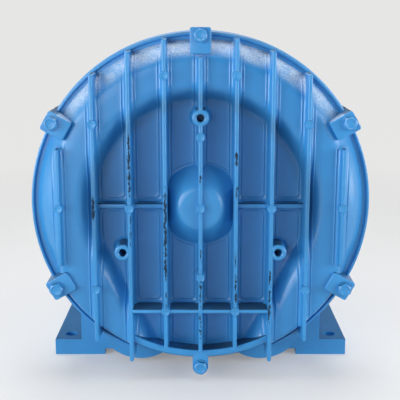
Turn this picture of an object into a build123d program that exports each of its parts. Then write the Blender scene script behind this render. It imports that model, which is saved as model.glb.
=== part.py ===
"""Side-channel blower with its motor, in millimetres.

The frame stands on Z = 0 with its origin at the centre of the four foot holes. The shaft lies
along Y at the height shaft_z, and the ribbed cover looks along -Y. Depths are counted back from
the front faces of the cover's ribs, radii and heights from the shaft.
"""
from build123d import *
from math import acos, cos, degrees, radians, sin, sqrt
import os

os.makedirs("parts", exist_ok=True)

# Feet and height
shaft_z = 162.0
foot_spacing_x = 260.0
foot_spacing_y = 115.0
foot_hole_r = 6.0
foot_front = 64.7
foot_hole_inset = 16.0
foot_rear_inset = 17.5
foot_pad_inner = 94.8
foot_pad_outer = 143.9
foot_pad_thickness = 15.6
foot_web_relief = 6.0
foot_wall_half = 117.8
foot_wall_thickness = 10.0
foot_wall_drop = 81.0
foot_side_wall = 8.0

# Cover, front to back
plate_depth = 21.0
plate_wall = 5.0
crest_depth = 8.5
groove_depth = 25.0
groove_rise = 0.5
lip_depth = 22.5
cover_depth = 39.5
flange_thickness = 5.5
gasket_thickness = 0.5

# Cover, seen from the front: the rim's radius, and steps inward and outward from it
rim_r = 153.0
flange_step = 1.5
lug_overhang = 2.5
rim_width = 6.0
groove_width = 3.5
outer_slope_width = 17.0
outer_slope_bulge = 1.6
crest_width = 24.8
inner_slope_width = 10.5
joint_overlap = 2.0
leg_angle = 27.5
leg_top_angle = 24.0
leg_step = 1.0
leg_round = 7.0
foot_notch_step = 6.5
band_step = 13.0
band_width = 6.0
pocket_wall = 11.5

# Ribs
rib_pitch = 31.4
rib_thickness = 3.4
rib_draft = 2.0
rib_tip_step = 2.0
rib_foot_step = 3.0
rib_root = 23.0
outer_rib_half = 52.5
middle_rib_gap = 2.3
cross_rib_height = -95.0
short_rib_depth = 12.0
short_rib_thickness = 4.2
ejector_r = 4.0
ejector_proud = 0.8
ejector_middle = 63.2
ejector_top = 116.2
ejector_side = 74.5

# Hub dome and tapped bosses
dome_r = 38.4
dome_face_r = 15.5
dome_depth = 4.5
dome_tilt = 42.0
dome_round = 8.0
dome_foot_round = 4.0
dome_cavity_r = 18.0
dome_wall = 5.5
boss_pitch_r = 80.0
boss_first_angle = 90.0
boss_count = 3
boss_r = 7.4
boss_hole_r = 3.4
boss_hole_depth = 18.0

# Cover lugs and bolts
bolt_edge = 7.0
bolt_count = 6
bolt_first_angle = 90.0
bolt_r = 3.175
bolt_head_af = 11.1
bolt_head_height = 4.0
bolt_length = 50.0
washer_r = 6.9
washer_thickness = 1.2
bolt_clearance = 0.3
thread_clearance = 0.02
lug_depth = 5.2
lug_width = 18.4
lug_length = 22.7
lug_corner = 1.5
bottom_lug_width = 14.6
housing_lug_length = 22.0

# Impeller and side channel
impeller_width = 26.6
impeller_gap = 0.7
impeller_tip_gap = 0.5
blade_count = 36
blade_thickness = 2.4
blade_root_step = 22.0
blade_sink = 1.0
blade_web = 3.0
hub_r = 30.0
hub_wall = 4.0
channel_half = 20.0
channel_edge = 1.5
channel_depth = 13.0
stripper_angle = 56.0
leg_wall = 5.0
leg_passage_top = 55.0

# Blower housing behind the impeller
housing_wall = 6.0
housing_step = 4.0
shoulder_step = 18.5
shoulder_fall = 1.0
thread_relief = 2.0
bearing_boss_r = 34.0
motor_flange_r = 79.0
motor_flange_wall = 14.0
housing_depth = 86.0
spigot_length = 4.0
spigot_wall = 5.0
stiffener_count = 8
stiffener_thickness = 5.0

# Muffler tubes and ports
tube_x = 58.0
tube_step = 4.0
tube_r = 42.0
tube_wall = 5.0
tube_front = 45.0
tube_floor = 76.0
passage_r = 15.0
passage_angle = 30.0
foam_inner_r = 25.0
foam_end_gap = 6.0
screen_wall = 1.0
port_flange_r = 42.0
port_flange_thickness = 9.0
port_neck_r = 30.0
port_neck_length = 20.0
port_bore_r = 22.5
port_gasket_thickness = 1.0
port_boss_r = 6.5
port_screw_pitch_r = 43.0
port_screw_angle = 30.0
port_screw_r = 3.0
port_screw_length = 30.0
port_screw_head_r = 5.0
port_screw_head_height = 6.0
port_boss_length = 34.0

# Shaft and bearings
shaft_nose_r = 11.0
shaft_middle_r = 15.0
shaft_tail_r = 8.0
key_width = 6.0
key_height = 6.0
key_length = 22.0
clamp_bolt_r = 4.0
clamp_bolt_length = 24.0
clamp_head_af = 13.0
clamp_head_height = 5.5
clamp_washer_r = 15.0
clamp_washer_thickness = 3.0
shaft_tail_length = 6.0
shaft_nose_inset = 1.0
spacer_wall = 4.0
seal_r = 19.0
seal_width = 7.0
seal_case = 2.0
seal_lip = 3.0
seal_inset = 1.0
seal_spacing = 2.0
seal_gap = 0.03
bearing_gap = 0.02
drive_bore_r = 12.5
drive_outer_r = 26.0
drive_width = 15.0
drive_ball_r = 3.97
drive_ball_count = 9
rear_bore_r = 8.5
rear_outer_r = 20.0
rear_width = 12.0
rear_ball_r = 3.37
rear_ball_count = 8
ball_gap = 0.08
race_share = 0.55
shield_thickness = 0.5
shield_gap = 0.4
cage_thickness = 1.6
cage_gap = 0.15
cage_rim = 0.9
spring_height = 2.0
retainer_thickness = 1.5
retainer_rim = 1.6
retainer_grip = 1.0
bearing_shoulder = 7.0
rear_seat_depth = 2.0
spring_inset = 1.0
spring_wall = 3.0

# Motor
frame_length = 176.0
frame_r = 70.0
frame_bore_r = 63.0
fin_r = 82.0
fin_count = 40
fin_thickness = 2.2
stator_length = 90.0
stator_start = 128.0
slot_count = 24
slot_width = 5.0
slot_depth = 14.0
slot_opening = 2.0
slot_liner = 0.6
air_gap = 0.35
rotor_r = 38.0
winding_length = 22.0
winding_wall = 16.0
end_ring_length = 9.0
end_ring_wall = 12.0
bell_thickness = 8.0
bell_depth = 22.0
bell_rib_step = 4.0
tail_clearance = 3.0
tie_bolt_r = 2.5
tie_bolt_pitch_r = 72.0
tie_angle = 45.0
tie_bolt_count = 4
tie_boss_r = 7.0
tie_thread = 10.0
tie_head_height = 3.5
tie_head_af = 8.0

# Fan and cowl
fan_r = 68.0
fan_hub_r = 16.0
fan_blades = 8
fan_blade_thickness = 3.0
fan_width = 34.0
fan_disc = 3.0
fan_gap = 6.0
cowl_r = 84.5
cowl_wall = 1.5
cowl_overlap = 18.0
cowl_length = 104.0
cowl_corner = 10.0
grille_slot = 4.0
grille_rings = 6
grille_pitch = 9.5
grille_inner_r = 14.0
grille_spokes = 4
grille_spoke_width = 8.0
cowl_ear_width = 16.0
cowl_screw_r = 2.0
cowl_screw_head_r = 4.0

# Terminal box on top of the motor
box_length = 100.0
box_width = 92.0
box_height = 34.0
box_wall = 3.0
box_corner = 8.0
box_start = 120.0
pad_height = 87.0
lid_height = 12.0
lid_gasket = 1.0
box_post_r = 5.0
box_screw_r = 2.0
box_screw_head_r = 4.0
box_screw_head_height = 2.6
box_screw_length = 18.0
wire_hole_r = 11.0
conduit_r = 10.2
conduit_boss_r = 15.0
conduit_boss_length = 5.0
block_length = 46.0
block_width = 32.0
block_height = 9.0
block_fin = 2.0
stud_r = 2.0
stud_height = 9.0
stud_columns = 3

# Places worked out from the sizes above
flange_r = rim_r + flange_step
slope_root_r = rim_r - rim_width
lip_r = slope_root_r + groove_width
crest_outer_r = slope_root_r - outer_slope_width
crest_inner_r = crest_outer_r - crest_width
plate_r = crest_inner_r - inner_slope_width
foot_notch_r = rim_r - foot_notch_step
band_outer_r = rim_r - band_step
band_inner_r = band_outer_r - band_width
rib_tip_r = rim_r - rib_tip_step
rib_foot_r = rim_r + rib_foot_step
lug_outer_r = flange_r + lug_overhang
lug_inner_r = lug_outer_r - lug_length
bolt_circle_r = lug_outer_r - bolt_edge
middle_rib_top = lug_inner_r - middle_rib_gap
pocket_r = rim_r - pocket_wall
impeller_r = pocket_r - impeller_tip_gap
channel_r = pocket_r - channel_edge - channel_half
blade_root_r = channel_r - blade_root_step
housing_r = flange_r - housing_step
housing_shoulder_r = housing_r - shoulder_step
flange_inner_r = motor_flange_r - motor_flange_wall
tube_drop = channel_r - tube_step
face_y = -(foot_front + foot_hole_inset + foot_spacing_y / 2)
housing_front = cover_depth + gasket_thickness
pocket_front = plate_depth + plate_wall
pocket_back = pocket_front + impeller_width + 2 * impeller_gap
impeller_front = pocket_front + impeller_gap
impeller_back = impeller_front + impeller_width
wall_back = pocket_back + housing_wall
channel_back = pocket_back + channel_depth
foot_length = foot_hole_inset + foot_spacing_y + foot_rear_inset
foot_back = foot_front + foot_length
tube_back = foot_back
seal_front = pocket_back + seal_inset
drive_front = seal_front + seal_width + seal_spacing
drive_back = drive_front + drive_width
frame_front = housing_depth
frame_back = frame_front + frame_length
bell_back = frame_back + bell_depth
rear_front = frame_back + rear_seat_depth
rear_back = rear_front + rear_width
stator_back = stator_start + stator_length
stator_bore_r = rotor_r + air_gap
bell_rib_r = tie_bolt_pitch_r - tie_head_af
fan_front = bell_back + fan_gap
fan_back = fan_front + fan_width
cowl_front = bell_back - cowl_overlap
cowl_back = cowl_front + cowl_length
bolt_face = lug_depth - washer_thickness
slope_root = groove_depth - groove_rise
leg_crest = crest_depth + leg_step
leg_floor = crest_depth + leg_wall
inner_rib_drop = sqrt(band_inner_r ** 2 - rib_pitch ** 2)
impeller_middle = (impeller_front + impeller_back) / 2
key_middle = shaft_nose_r
port_front = tube_back + port_gasket_thickness
port_ear_r = port_boss_r
drive_seat_step_r = drive_outer_r - bearing_shoulder
side_wall_height = shaft_z - tube_drop
side_wall_middle = -shaft_z + foot_web_relief + side_wall_height / 2
shaft_front = impeller_front + shaft_nose_inset
block_offset = -box_length / 6

shaft_axis = Axis((0, 0, shaft_z), (0, -1, 0))
lug_angles = [bolt_first_angle + 360 / bolt_count * step for step in range(bolt_count)]
side_lug_angles = [angle for angle in lug_angles if abs(angle - bolt_first_angle - 180) > 1]
leg_angles = (180 + leg_angle, -leg_angle)


def facing(depth):
    """Plane across the shaft at a depth, looking forward, with x to the right and y up."""
    return Plane(origin=(0, face_y + depth, shaft_z), x_dir=(1, 0, 0), z_dir=(0, -1, 0))


def section_at(angle):
    """Plane through the shaft at an angle, with depth as x and radius as y."""
    normal = (sin(radians(angle)), 0, -cos(radians(angle)))
    return Plane(origin=(0, face_y, shaft_z), x_dir=(0, 1, 0), z_dir=normal)


def polar(radius, angle):
    return (radius * cos(radians(angle)), radius * sin(radians(angle)))


def bar(start, end, radius, at=((0, 0),), mode=Mode.ADD):
    """Round bars or bores along the shaft's direction, between two depths."""
    with BuildSketch(facing(start)) as disc:
        with Locations(*at):
            Circle(radius)
    extrude(disc.sketch, amount=start - end, mode=mode)


def tube(start, end, outer, inner, at=((0, 0),), mode=Mode.ADD):
    """Round sleeves along the shaft's direction, between two depths."""
    with BuildSketch(facing(start)) as sleeve:
        with Locations(*at):
            Circle(outer)
            Circle(inner, mode=Mode.SUBTRACT)
    extrude(sleeve.sketch, amount=start - end, mode=mode)


def turned(points, angle=90, sweep=360, mode=Mode.ADD):
    """A body turned about the shaft from (depth, radius) points."""
    with BuildSketch(section_at(angle)) as profile:
        with BuildLine():
            Polyline(*points, close=True)
        make_face()
    revolve(profile.sketch, axis=shaft_axis, revolution_arc=sweep, mode=mode)


def channel(floor, back, angle, sweep):
    """Cut the side channel's round groove from a pocket floor, over part of a turn."""
    with BuildSketch(section_at(angle)) as groove:
        with BuildLine():
            ThreePointArc(
                (floor, channel_r - channel_half),
                (back, channel_r),
                (floor, channel_r + channel_half),
            )
            Line((floor, channel_r + channel_half), (floor, channel_r - channel_half))
        make_face()
    revolve(groove.sketch, axis=shaft_axis, revolution_arc=sweep, mode=Mode.SUBTRACT)


def lug_blocks(start, end):
    """Five square lugs and the round-ended bottom one, along the shaft's direction."""
    with BuildSketch(facing(start)) as lugs:
        for angle in side_lug_angles:
            with Locations(Location((*polar((lug_inner_r + lug_outer_r) / 2, angle), 0), (0, 0, angle))):
                RectangleRounded(lug_outer_r - lug_inner_r, lug_width, lug_corner)
        with Locations((0, -(band_outer_r + bolt_circle_r) / 2)):
            Rectangle(bottom_lug_width, bolt_circle_r - band_outer_r + joint_overlap)
        with Locations((0, -bolt_circle_r)):
            Circle(bottom_lug_width / 2)
    extrude(lugs.sketch, amount=start - end)


def bottom_notch(start, end, radius):
    """Cut what stands outside a radius between the two ribs that frame the bottom band."""
    half = 2 * rib_pitch - rib_thickness / 2
    with BuildSketch(facing(start)) as notch:
        with Locations((0, -lug_outer_r)):
            Rectangle(2 * half, lug_outer_r)
        Circle(radius, mode=Mode.SUBTRACT)
    extrude(notch.sketch, amount=start - end, mode=Mode.SUBTRACT)


def plate_outline(radius):
    """Round plate whose sides run down as tangent lines between the channel's legs."""
    reach = lug_outer_r
    points = []
    for angle in leg_angles:
        tangent = 1 if angle > 90 else -1
        start = polar(radius, angle)
        run = (reach + start[1]) / cos(radians(leg_angle))
        along = (sin(radians(leg_angle)) * tangent * run, -cos(radians(leg_angle)) * run)
        points.append((start, (start[0] + along[0], start[1] + along[1])))
    (left, left_foot), (right, right_foot) = points
    with BuildSketch() as outline:
        with BuildLine():
            ThreePointArc(right, (0, radius), left)
            Line(left, left_foot)
            Line(left_foot, right_foot)
            Line(right_foot, right)
        make_face()
    return outline.sketch


bolt_points = [polar(bolt_circle_r, angle) for angle in lug_angles]
boss_points = [
    polar(boss_pitch_r, boss_first_angle + 360 / boss_count * step) for step in range(boss_count)
]
tube_points = ((-tube_x, -tube_drop), (tube_x, -tube_drop))
passage_points = [polar(channel_r, angle) for angle in (270 - passage_angle, 270 + passage_angle)]
port_screw_points = [
    (x + polar(port_screw_pitch_r, angle)[0], z + polar(port_screw_pitch_r, angle)[1])
    for x, z in tube_points
    for angle in (
        port_screw_angle, 180 - port_screw_angle, 180 + port_screw_angle, 360 - port_screw_angle
    )
]
tie_points = [
    polar(tie_bolt_pitch_r, tie_angle + 360 / tie_bolt_count * step) for step in range(tie_bolt_count)
]
ejector_points = [(0, 0), (0, ejector_middle), (0, -ejector_middle)]
for side in (-1, 1):
    ejector_points += [
        (side * rib_pitch, ejector_top), (side * rib_pitch, cross_rib_height), (side * 2 * rib_pitch, 0),
        (side * 3 * rib_pitch, ejector_side), (side * 3 * rib_pitch, -ejector_side),
        (side * 4 * rib_pitch, 0),
    ]
box_screw_points = [
    (x * (box_width / 2 - box_wall - box_post_r / 2), y * (box_length / 2 - box_wall - box_post_r / 2))
    for x in (-1, 1)
    for y in (-1, 1)
]


def box_plane(height):
    """Level plane over the terminal box's middle, at a height above the shaft."""
    return Plane(origin=(0, face_y + box_start + box_length / 2, shaft_z + height))


def conduit_plane(distance):
    """Upright plane beside the terminal box, looking along +X."""
    height = shaft_z + pad_height + box_height / 2
    return Plane(origin=(distance, face_y + box_start + box_length / 2, height), z_dir=(1, 0, 0))


def cowl_screw_planes(radius):
    """Planes that look outward where the cowl's four screws sit."""
    depth = frame_back + bell_thickness / 2
    planes = []
    for angle in (0, 90, 180, 270):
        x, z = polar(radius, angle)
        outward = (cos(radians(angle)), 0, sin(radians(angle)))
        planes.append(Plane(origin=(x, face_y + depth, shaft_z + z), z_dir=outward))
    return planes


# Front cover: a dished casting with nine upright ribs
slope_middle = (
    (crest_depth + slope_root) / 2 - outer_slope_bulge,
    (crest_outer_r + slope_root_r) / 2 + outer_slope_bulge,
)
with BuildPart() as front_cover:
    with BuildSketch(section_at(90)):
        with BuildLine():
            Line((crest_depth, 0), (crest_depth, crest_outer_r))
            ThreePointArc((crest_depth, crest_outer_r), slope_middle, (slope_root, slope_root_r))
            Polyline(
                (slope_root, slope_root_r), (groove_depth, slope_root_r), (groove_depth, lip_r),
                (lip_depth, lip_r), (lip_depth, rim_r), (cover_depth - flange_thickness, rim_r),
                (cover_depth - flange_thickness, flange_r), (cover_depth, flange_r), (cover_depth, 0),
                (crest_depth, 0),
            )
        make_face()
    revolve(axis=shaft_axis)
    leg_sweep = degrees(acos(rib_pitch / rim_r)) - leg_top_angle
    for start_angle in (180 + leg_top_angle, 360 - leg_top_angle - leg_sweep):
        with BuildSketch(section_at(start_angle)):
            with BuildLine():
                corner = CenterArc((leg_crest + leg_round, rim_r - leg_round), leg_round, 90, 90)
                Polyline(
                    corner @ 0, (cover_depth, rim_r), (cover_depth, channel_r), (leg_crest, channel_r),
                    corner @ 1,
                )
            make_face()
        revolve(axis=shaft_axis, revolution_arc=leg_sweep)
    with BuildSketch(facing(crest_depth)):
        add(plate_outline(crest_inner_r))
    plate_taper = degrees(acos(1 / sqrt(1 + (inner_slope_width / (plate_depth - crest_depth)) ** 2)))
    extrude(amount=crest_depth - plate_depth, taper=plate_taper, mode=Mode.SUBTRACT)
    bottom_notch(-ejector_proud, plate_depth, band_outer_r)
    bottom_notch(-ejector_proud, cover_depth, foot_notch_r)
    # Upright ribs, trimmed by the rim above and by the larger foot circle below
    with BuildSketch(facing(0)):
        for step in (2, 3):
            with Locations((step * rib_pitch, 0), (-step * rib_pitch, 0)):
                Rectangle(rib_thickness, 2 * rib_foot_r)
        for side in (-1, 1):
            with Locations((side * rib_pitch, (rim_r - inner_rib_drop) / 2)):
                Rectangle(rib_thickness, rim_r + inner_rib_drop)
        with Locations((0, (middle_rib_top - band_inner_r) / 2)):
            Rectangle(rib_thickness, middle_rib_top + band_inner_r)
        with Locations((4 * rib_pitch, 0), (-4 * rib_pitch, 0)):
            Rectangle(rib_thickness, 2 * outer_rib_half)
        with Locations((0, cross_rib_height)):
            Rectangle(4 * rib_pitch, rib_thickness)
        with BuildSketch(mode=Mode.INTERSECT):
            Circle(rib_tip_r)
            with BuildSketch():
                Circle(rib_foot_r)
                with Locations((0, rib_foot_r / 2 - band_inner_r / 2)):
                    Rectangle(2 * rib_foot_r, rib_foot_r + band_inner_r, mode=Mode.SUBTRACT)
    extrude(amount=-rib_root, taper=-rib_draft)
    # Bottom band, short ribs, lugs, bosses, moulded discs and the hub dome
    with BuildSketch(facing(lug_depth)):
        with Locations((0, -band_outer_r)):
            Rectangle(4 * rib_pitch, 2 * band_outer_r)
        Circle(band_outer_r, mode=Mode.INTERSECT)
        Circle(band_inner_r, mode=Mode.SUBTRACT)
    extrude(amount=lug_depth - rib_root)
    with BuildSketch(facing(short_rib_depth)):
        for side in (-1, 1):
            with Locations((side * 2 * rib_pitch, 0)):
                Rectangle(2 * rib_pitch, short_rib_thickness)
    extrude(amount=short_rib_depth - rib_root)
    lug_blocks(lug_depth, cover_depth)
    bar(0, rib_root, boss_r, boss_points)
    bar(-ejector_proud, plate_depth, ejector_r, ejector_points)
    with BuildSketch(section_at(90)):
        with BuildLine():
            Polyline((pocket_front, 0), (dome_depth, 0), (dome_depth, dome_face_r))
            shoulder = CenterArc((dome_depth + dome_round, dome_face_r), dome_round, 180, -dome_tilt)
            foot = CenterArc((plate_depth - dome_foot_round, dome_r), dome_foot_round, 0, -dome_tilt)
            Line(shoulder @ 1, foot @ 1)
            Polyline(foot @ 0, (pocket_front, dome_r), (pocket_front, 0))
        make_face()
    revolve(axis=shaft_axis)
    # Inside: impeller pocket, side channel, the legs' passages, the hub's hollow
    bar(pocket_front, cover_depth, pocket_r, mode=Mode.SUBTRACT)
    bar(dome_depth + dome_wall, cover_depth, dome_cavity_r, mode=Mode.SUBTRACT)
    channel(pocket_front, pocket_front - channel_depth, -leg_angle, 180 + 2 * leg_angle)
    with BuildSketch(facing(leg_floor)):
        Circle(channel_r + channel_half - leg_wall)
        with Locations((0, rim_r / 2 - leg_passage_top)):
            Rectangle(2 * rim_r, rim_r, mode=Mode.SUBTRACT)
        add(plate_outline(crest_inner_r + leg_wall), mode=Mode.SUBTRACT)
        Circle(channel_r - channel_half, mode=Mode.SUBTRACT)
    extrude(amount=leg_floor - cover_depth, mode=Mode.SUBTRACT)
    bar(lug_depth, cover_depth, bolt_r + bolt_clearance, bolt_points, mode=Mode.SUBTRACT)
    bar(0, boss_hole_depth, boss_hole_r, boss_points, mode=Mode.SUBTRACT)
front_cover.part.label = "front_cover"
export_step(front_cover.part, "parts/front_cover.step")

# Gasket between the cover and the housing
with BuildPart() as cover_gasket:
    bar(cover_depth, housing_front, flange_r)
    bottom_notch(cover_depth, housing_front, foot_notch_r)
    lug_blocks(cover_depth, housing_front)
    bar(cover_depth, housing_front, pocket_r, mode=Mode.SUBTRACT)
    bar(cover_depth, housing_front, bolt_r + bolt_clearance, bolt_points, mode=Mode.SUBTRACT)
cover_gasket.part.label = "cover_gasket"
export_step(cover_gasket.part, "parts/cover_gasket.step")

# Hex bolts and washers round the cover
with BuildPart() as cover_bolts:
    with BuildSketch(facing(bolt_face)):
        with Locations(*bolt_points):
            RegularPolygon(bolt_head_af / 2, 6, major_radius=False)
    extrude(amount=bolt_head_height)
    bar(bolt_face, bolt_face + bolt_length, bolt_r, bolt_points)
cover_bolts.part.label = "cover_bolts"
export_step(cover_bolts.part, "parts/cover_bolts.step")

with BuildPart() as cover_washers:
    tube(bolt_face, lug_depth, washer_r, bolt_r + bolt_clearance, bolt_points)
cover_washers.part.label = "cover_washers"
export_step(cover_washers.part, "parts/cover_washers.step")

# Blower housing: one casting with the rear channel, the muffler tubes and the feet
with BuildPart() as blower_housing:
    turned([
        (housing_front, 0), (housing_front, flange_r), (housing_front + flange_thickness, flange_r),
        (housing_front + flange_thickness, housing_r), (pocket_back, housing_r),
        (channel_back + housing_wall - shoulder_fall, housing_shoulder_r),
        (channel_back + housing_wall, channel_r),
        (channel_back + housing_wall, motor_flange_r), (housing_depth, motor_flange_r),
        (housing_depth, 0),
    ])
    tube(wall_back, housing_depth + joint_overlap, flange_inner_r, bearing_boss_r, mode=Mode.SUBTRACT)
    tube(housing_depth, housing_depth + spigot_length, frame_bore_r - seal_gap, frame_bore_r - spigot_wall)
    with BuildSketch(facing(wall_back)):
        with PolarLocations((bearing_boss_r + flange_inner_r) / 2, stiffener_count, 180 / stiffener_count):
            Rectangle(flange_inner_r - bearing_boss_r + joint_overlap, stiffener_thickness)
    extrude(amount=wall_back - housing_depth)
    lug_blocks(housing_front, housing_front + housing_lug_length)
    bar(tube_front, tube_back, tube_r, tube_points)
    bar(tube_back - port_boss_length, tube_back, port_boss_r, port_screw_points)
    # Feet: two pads along the machine, cross walls at both ends and a relieved web between
    with BuildSketch(facing(foot_front)):
        for side in (-1, 1):
            pad_middle = side * (foot_pad_inner + foot_pad_outer) / 2
            with Locations((pad_middle, foot_pad_thickness / 2 - shaft_z)):
                Rectangle(foot_pad_outer - foot_pad_inner, foot_pad_thickness)
        with Locations((0, (foot_web_relief + foot_pad_thickness) / 2 - shaft_z)):
            Rectangle(2 * foot_wall_half, foot_pad_thickness - foot_web_relief)
    extrude(amount=-foot_length)
    for wall_front, wall_top in (
        (foot_front, -foot_wall_drop), (foot_back - foot_wall_thickness, -tube_drop)
    ):
        with BuildSketch(facing(wall_front)):
            with Locations((0, (wall_top + foot_web_relief - shaft_z) / 2)):
                Rectangle(2 * foot_wall_half, wall_top - foot_web_relief + shaft_z)
        extrude(amount=-foot_wall_thickness)
    with BuildSketch(facing(foot_front)):
        for side in (-1, 1):
            with Locations((side * (foot_wall_half - foot_side_wall / 2), side_wall_middle)):
                Rectangle(foot_side_wall, side_wall_height)
    extrude(amount=-foot_length)
    # Inside: pocket, channel, passages to the mufflers, bearing seat and screw holes
    bar(housing_front, pocket_back, pocket_r, mode=Mode.SUBTRACT)
    channel(pocket_back, channel_back, -90 + stripper_angle / 2, 360 - stripper_angle)
    bar(pocket_back, tube_floor, passage_r, passage_points, mode=Mode.SUBTRACT)
    bar(tube_floor, tube_back, tube_r - tube_wall, tube_points, mode=Mode.SUBTRACT)
    bar(pocket_back, drive_front, drive_seat_step_r, mode=Mode.SUBTRACT)
    bar(seal_front, seal_front + seal_width, seal_r, mode=Mode.SUBTRACT)
    bar(drive_front, housing_depth, drive_outer_r + bearing_gap, mode=Mode.SUBTRACT)
    tube(drive_back, drive_back + retainer_thickness,
         drive_outer_r + retainer_rim, drive_outer_r - retainer_grip, mode=Mode.SUBTRACT)
    bar(housing_front, bolt_face + bolt_length + thread_relief, bolt_r + thread_clearance, bolt_points,
        mode=Mode.SUBTRACT)
    bar(tube_back - port_screw_length, tube_back, port_screw_r + thread_clearance, port_screw_points,
        mode=Mode.SUBTRACT)
    bar(housing_depth - tie_thread, housing_depth, tie_bolt_r + thread_clearance, tie_points,
        mode=Mode.SUBTRACT)
    with BuildSketch(Plane.XY):
        with GridLocations(foot_spacing_x, foot_spacing_y, 2, 2):
            Circle(foot_hole_r)
    extrude(amount=foot_pad_thickness, mode=Mode.SUBTRACT)
blower_housing.part.label = "blower_housing"
export_step(blower_housing.part, "parts/blower_housing.step")

# Muffler linings and their perforated tubes
for name, x in (("inlet", -tube_x), ("outlet", tube_x)):
    spot = ((x, -tube_drop),)
    with BuildPart() as foam:
        tube(tube_floor, tube_back - foam_end_gap, tube_r - tube_wall, foam_inner_r, spot)
    foam.part.label = name + "_muffler_foam"
    export_step(foam.part, "parts/" + name + "_muffler_foam.step")
    with BuildPart() as screen:
        tube(tube_floor, tube_back, foam_inner_r, foam_inner_r - screen_wall, spot)
    screen.part.label = name + "_muffler_screen"
    export_step(screen.part, "parts/" + name + "_muffler_screen.step")
    with BuildPart() as port:
        bar(port_front, port_front + port_flange_thickness, port_flange_r, spot)
        bar(port_front, port_front + port_flange_thickness, port_ear_r,
            [point for point in port_screw_points if point[0] * x > 0])
        bar(port_front, port_front + port_flange_thickness + port_neck_length, port_neck_r, spot)
        bar(port_front, port_front + port_flange_thickness + port_neck_length, port_bore_r, spot,
            mode=Mode.SUBTRACT)
        bar(port_front, port_front + port_flange_thickness, port_screw_r + bolt_clearance,
            port_screw_points, mode=Mode.SUBTRACT)
    port.part.label = name + "_port_flange"
    export_step(port.part, "parts/" + name + "_port_flange.step")

with BuildPart() as port_gaskets:
    bar(tube_back, port_front, port_flange_r, tube_points)
    bar(tube_back, port_front, port_ear_r, port_screw_points)
    bar(tube_back, port_front, foam_inner_r, tube_points, mode=Mode.SUBTRACT)
    bar(tube_back, port_front, port_screw_r + bolt_clearance, port_screw_points, mode=Mode.SUBTRACT)
port_gaskets.part.label = "port_gaskets"
export_step(port_gaskets.part, "parts/port_gaskets.step")

port_face = port_front + port_flange_thickness
with BuildPart() as port_screws:
    bar(port_face - port_screw_length, port_face, port_screw_r, port_screw_points)
    bar(port_face, port_face + port_screw_head_height, port_screw_head_r, port_screw_points)
    with BuildSketch(facing(port_face + port_screw_head_height)):
        with Locations(*port_screw_points):
            RegularPolygon(port_screw_head_r / 2, 6)
    extrude(amount=port_screw_head_height / 2, mode=Mode.SUBTRACT)
port_screws.part.label = "port_screws"
export_step(port_screws.part, "parts/port_screws.step")

# Impeller: a hub and web with straight vanes on both faces
with BuildPart() as impeller:
    bar(impeller_middle - blade_web / 2, impeller_middle + blade_web / 2, impeller_r)
    bar(impeller_front, impeller_back, hub_r)
    tube(impeller_front, impeller_back, blade_root_r, blade_root_r - hub_wall)
    with BuildSketch(facing(impeller_front)):
        with PolarLocations((blade_root_r + impeller_r) / 2 - blade_sink, blade_count):
            Rectangle(impeller_r - blade_root_r, blade_thickness)
        Circle(impeller_r, mode=Mode.INTERSECT)
    extrude(amount=-impeller_width)
    with BuildSketch(facing(impeller_front + hub_wall)):
        with PolarLocations((hub_r + blade_root_r - hub_wall) / 2, stiffener_count):
            Rectangle(blade_root_r - hub_r - hub_wall + joint_overlap, hub_wall)
    extrude(amount=2 * hub_wall - impeller_width)
    bar(impeller_front, impeller_back, shaft_nose_r + bearing_gap, mode=Mode.SUBTRACT)
    with BuildSketch(facing(impeller_front)):
        with Locations((0, key_middle)):
            Rectangle(key_width, key_height)
    extrude(amount=-impeller_width, mode=Mode.SUBTRACT)
impeller.part.label = "impeller"
export_step(impeller.part, "parts/impeller.step")

with BuildPart() as impeller_key:
    with BuildSketch(facing(shaft_front)):
        with Locations((0, key_middle)):
            Rectangle(key_width, key_height)
    extrude(amount=-key_length)
impeller_key.part.label = "impeller_key"
export_step(impeller_key.part, "parts/impeller_key.step")

with BuildPart() as impeller_washer:
    tube(impeller_front - clamp_washer_thickness, impeller_front,
         clamp_washer_r, clamp_bolt_r + bolt_clearance)
impeller_washer.part.label = "impeller_washer"
export_step(impeller_washer.part, "parts/impeller_washer.step")

with BuildPart() as impeller_bolt:
    with BuildSketch(facing(impeller_front - clamp_washer_thickness)):
        RegularPolygon(clamp_head_af / 2, 6, major_radius=False)
    extrude(amount=clamp_head_height)
    bar(impeller_front - clamp_washer_thickness, impeller_front + clamp_bolt_length, clamp_bolt_r)
impeller_bolt.part.label = "impeller_bolt"
export_step(impeller_bolt.part, "parts/impeller_bolt.step")

with BuildPart() as impeller_spacer:
    tube(impeller_back, seal_front, shaft_nose_r + spacer_wall, shaft_nose_r + bearing_gap)
impeller_spacer.part.label = "impeller_spacer"
export_step(impeller_spacer.part, "parts/impeller_spacer.step")

# Shaft, stepped from the impeller's nose to the fan's tail
with BuildPart() as rotor_shaft:
    bar(shaft_front, drive_front, shaft_nose_r)
    bar(drive_front, drive_back, drive_bore_r)
    bar(drive_back, rear_front, shaft_middle_r)
    bar(rear_front, rear_back, rear_bore_r)
    bar(rear_back, fan_back + shaft_tail_length, shaft_tail_r)
    with BuildSketch(facing(shaft_front)):
        with Locations((0, key_middle)):
            Rectangle(key_width, key_height)
    extrude(amount=-key_length, mode=Mode.SUBTRACT)
    bar(impeller_front, impeller_front + clamp_bolt_length + thread_relief, clamp_bolt_r + thread_clearance,
        mode=Mode.SUBTRACT)
    tube(fan_back, fan_back + retainer_thickness,
         shaft_tail_r + retainer_grip, shaft_tail_r - retainer_grip, mode=Mode.SUBTRACT)
rotor_shaft.part.label = "rotor_shaft"
export_step(rotor_shaft.part, "parts/rotor_shaft.step")

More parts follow.
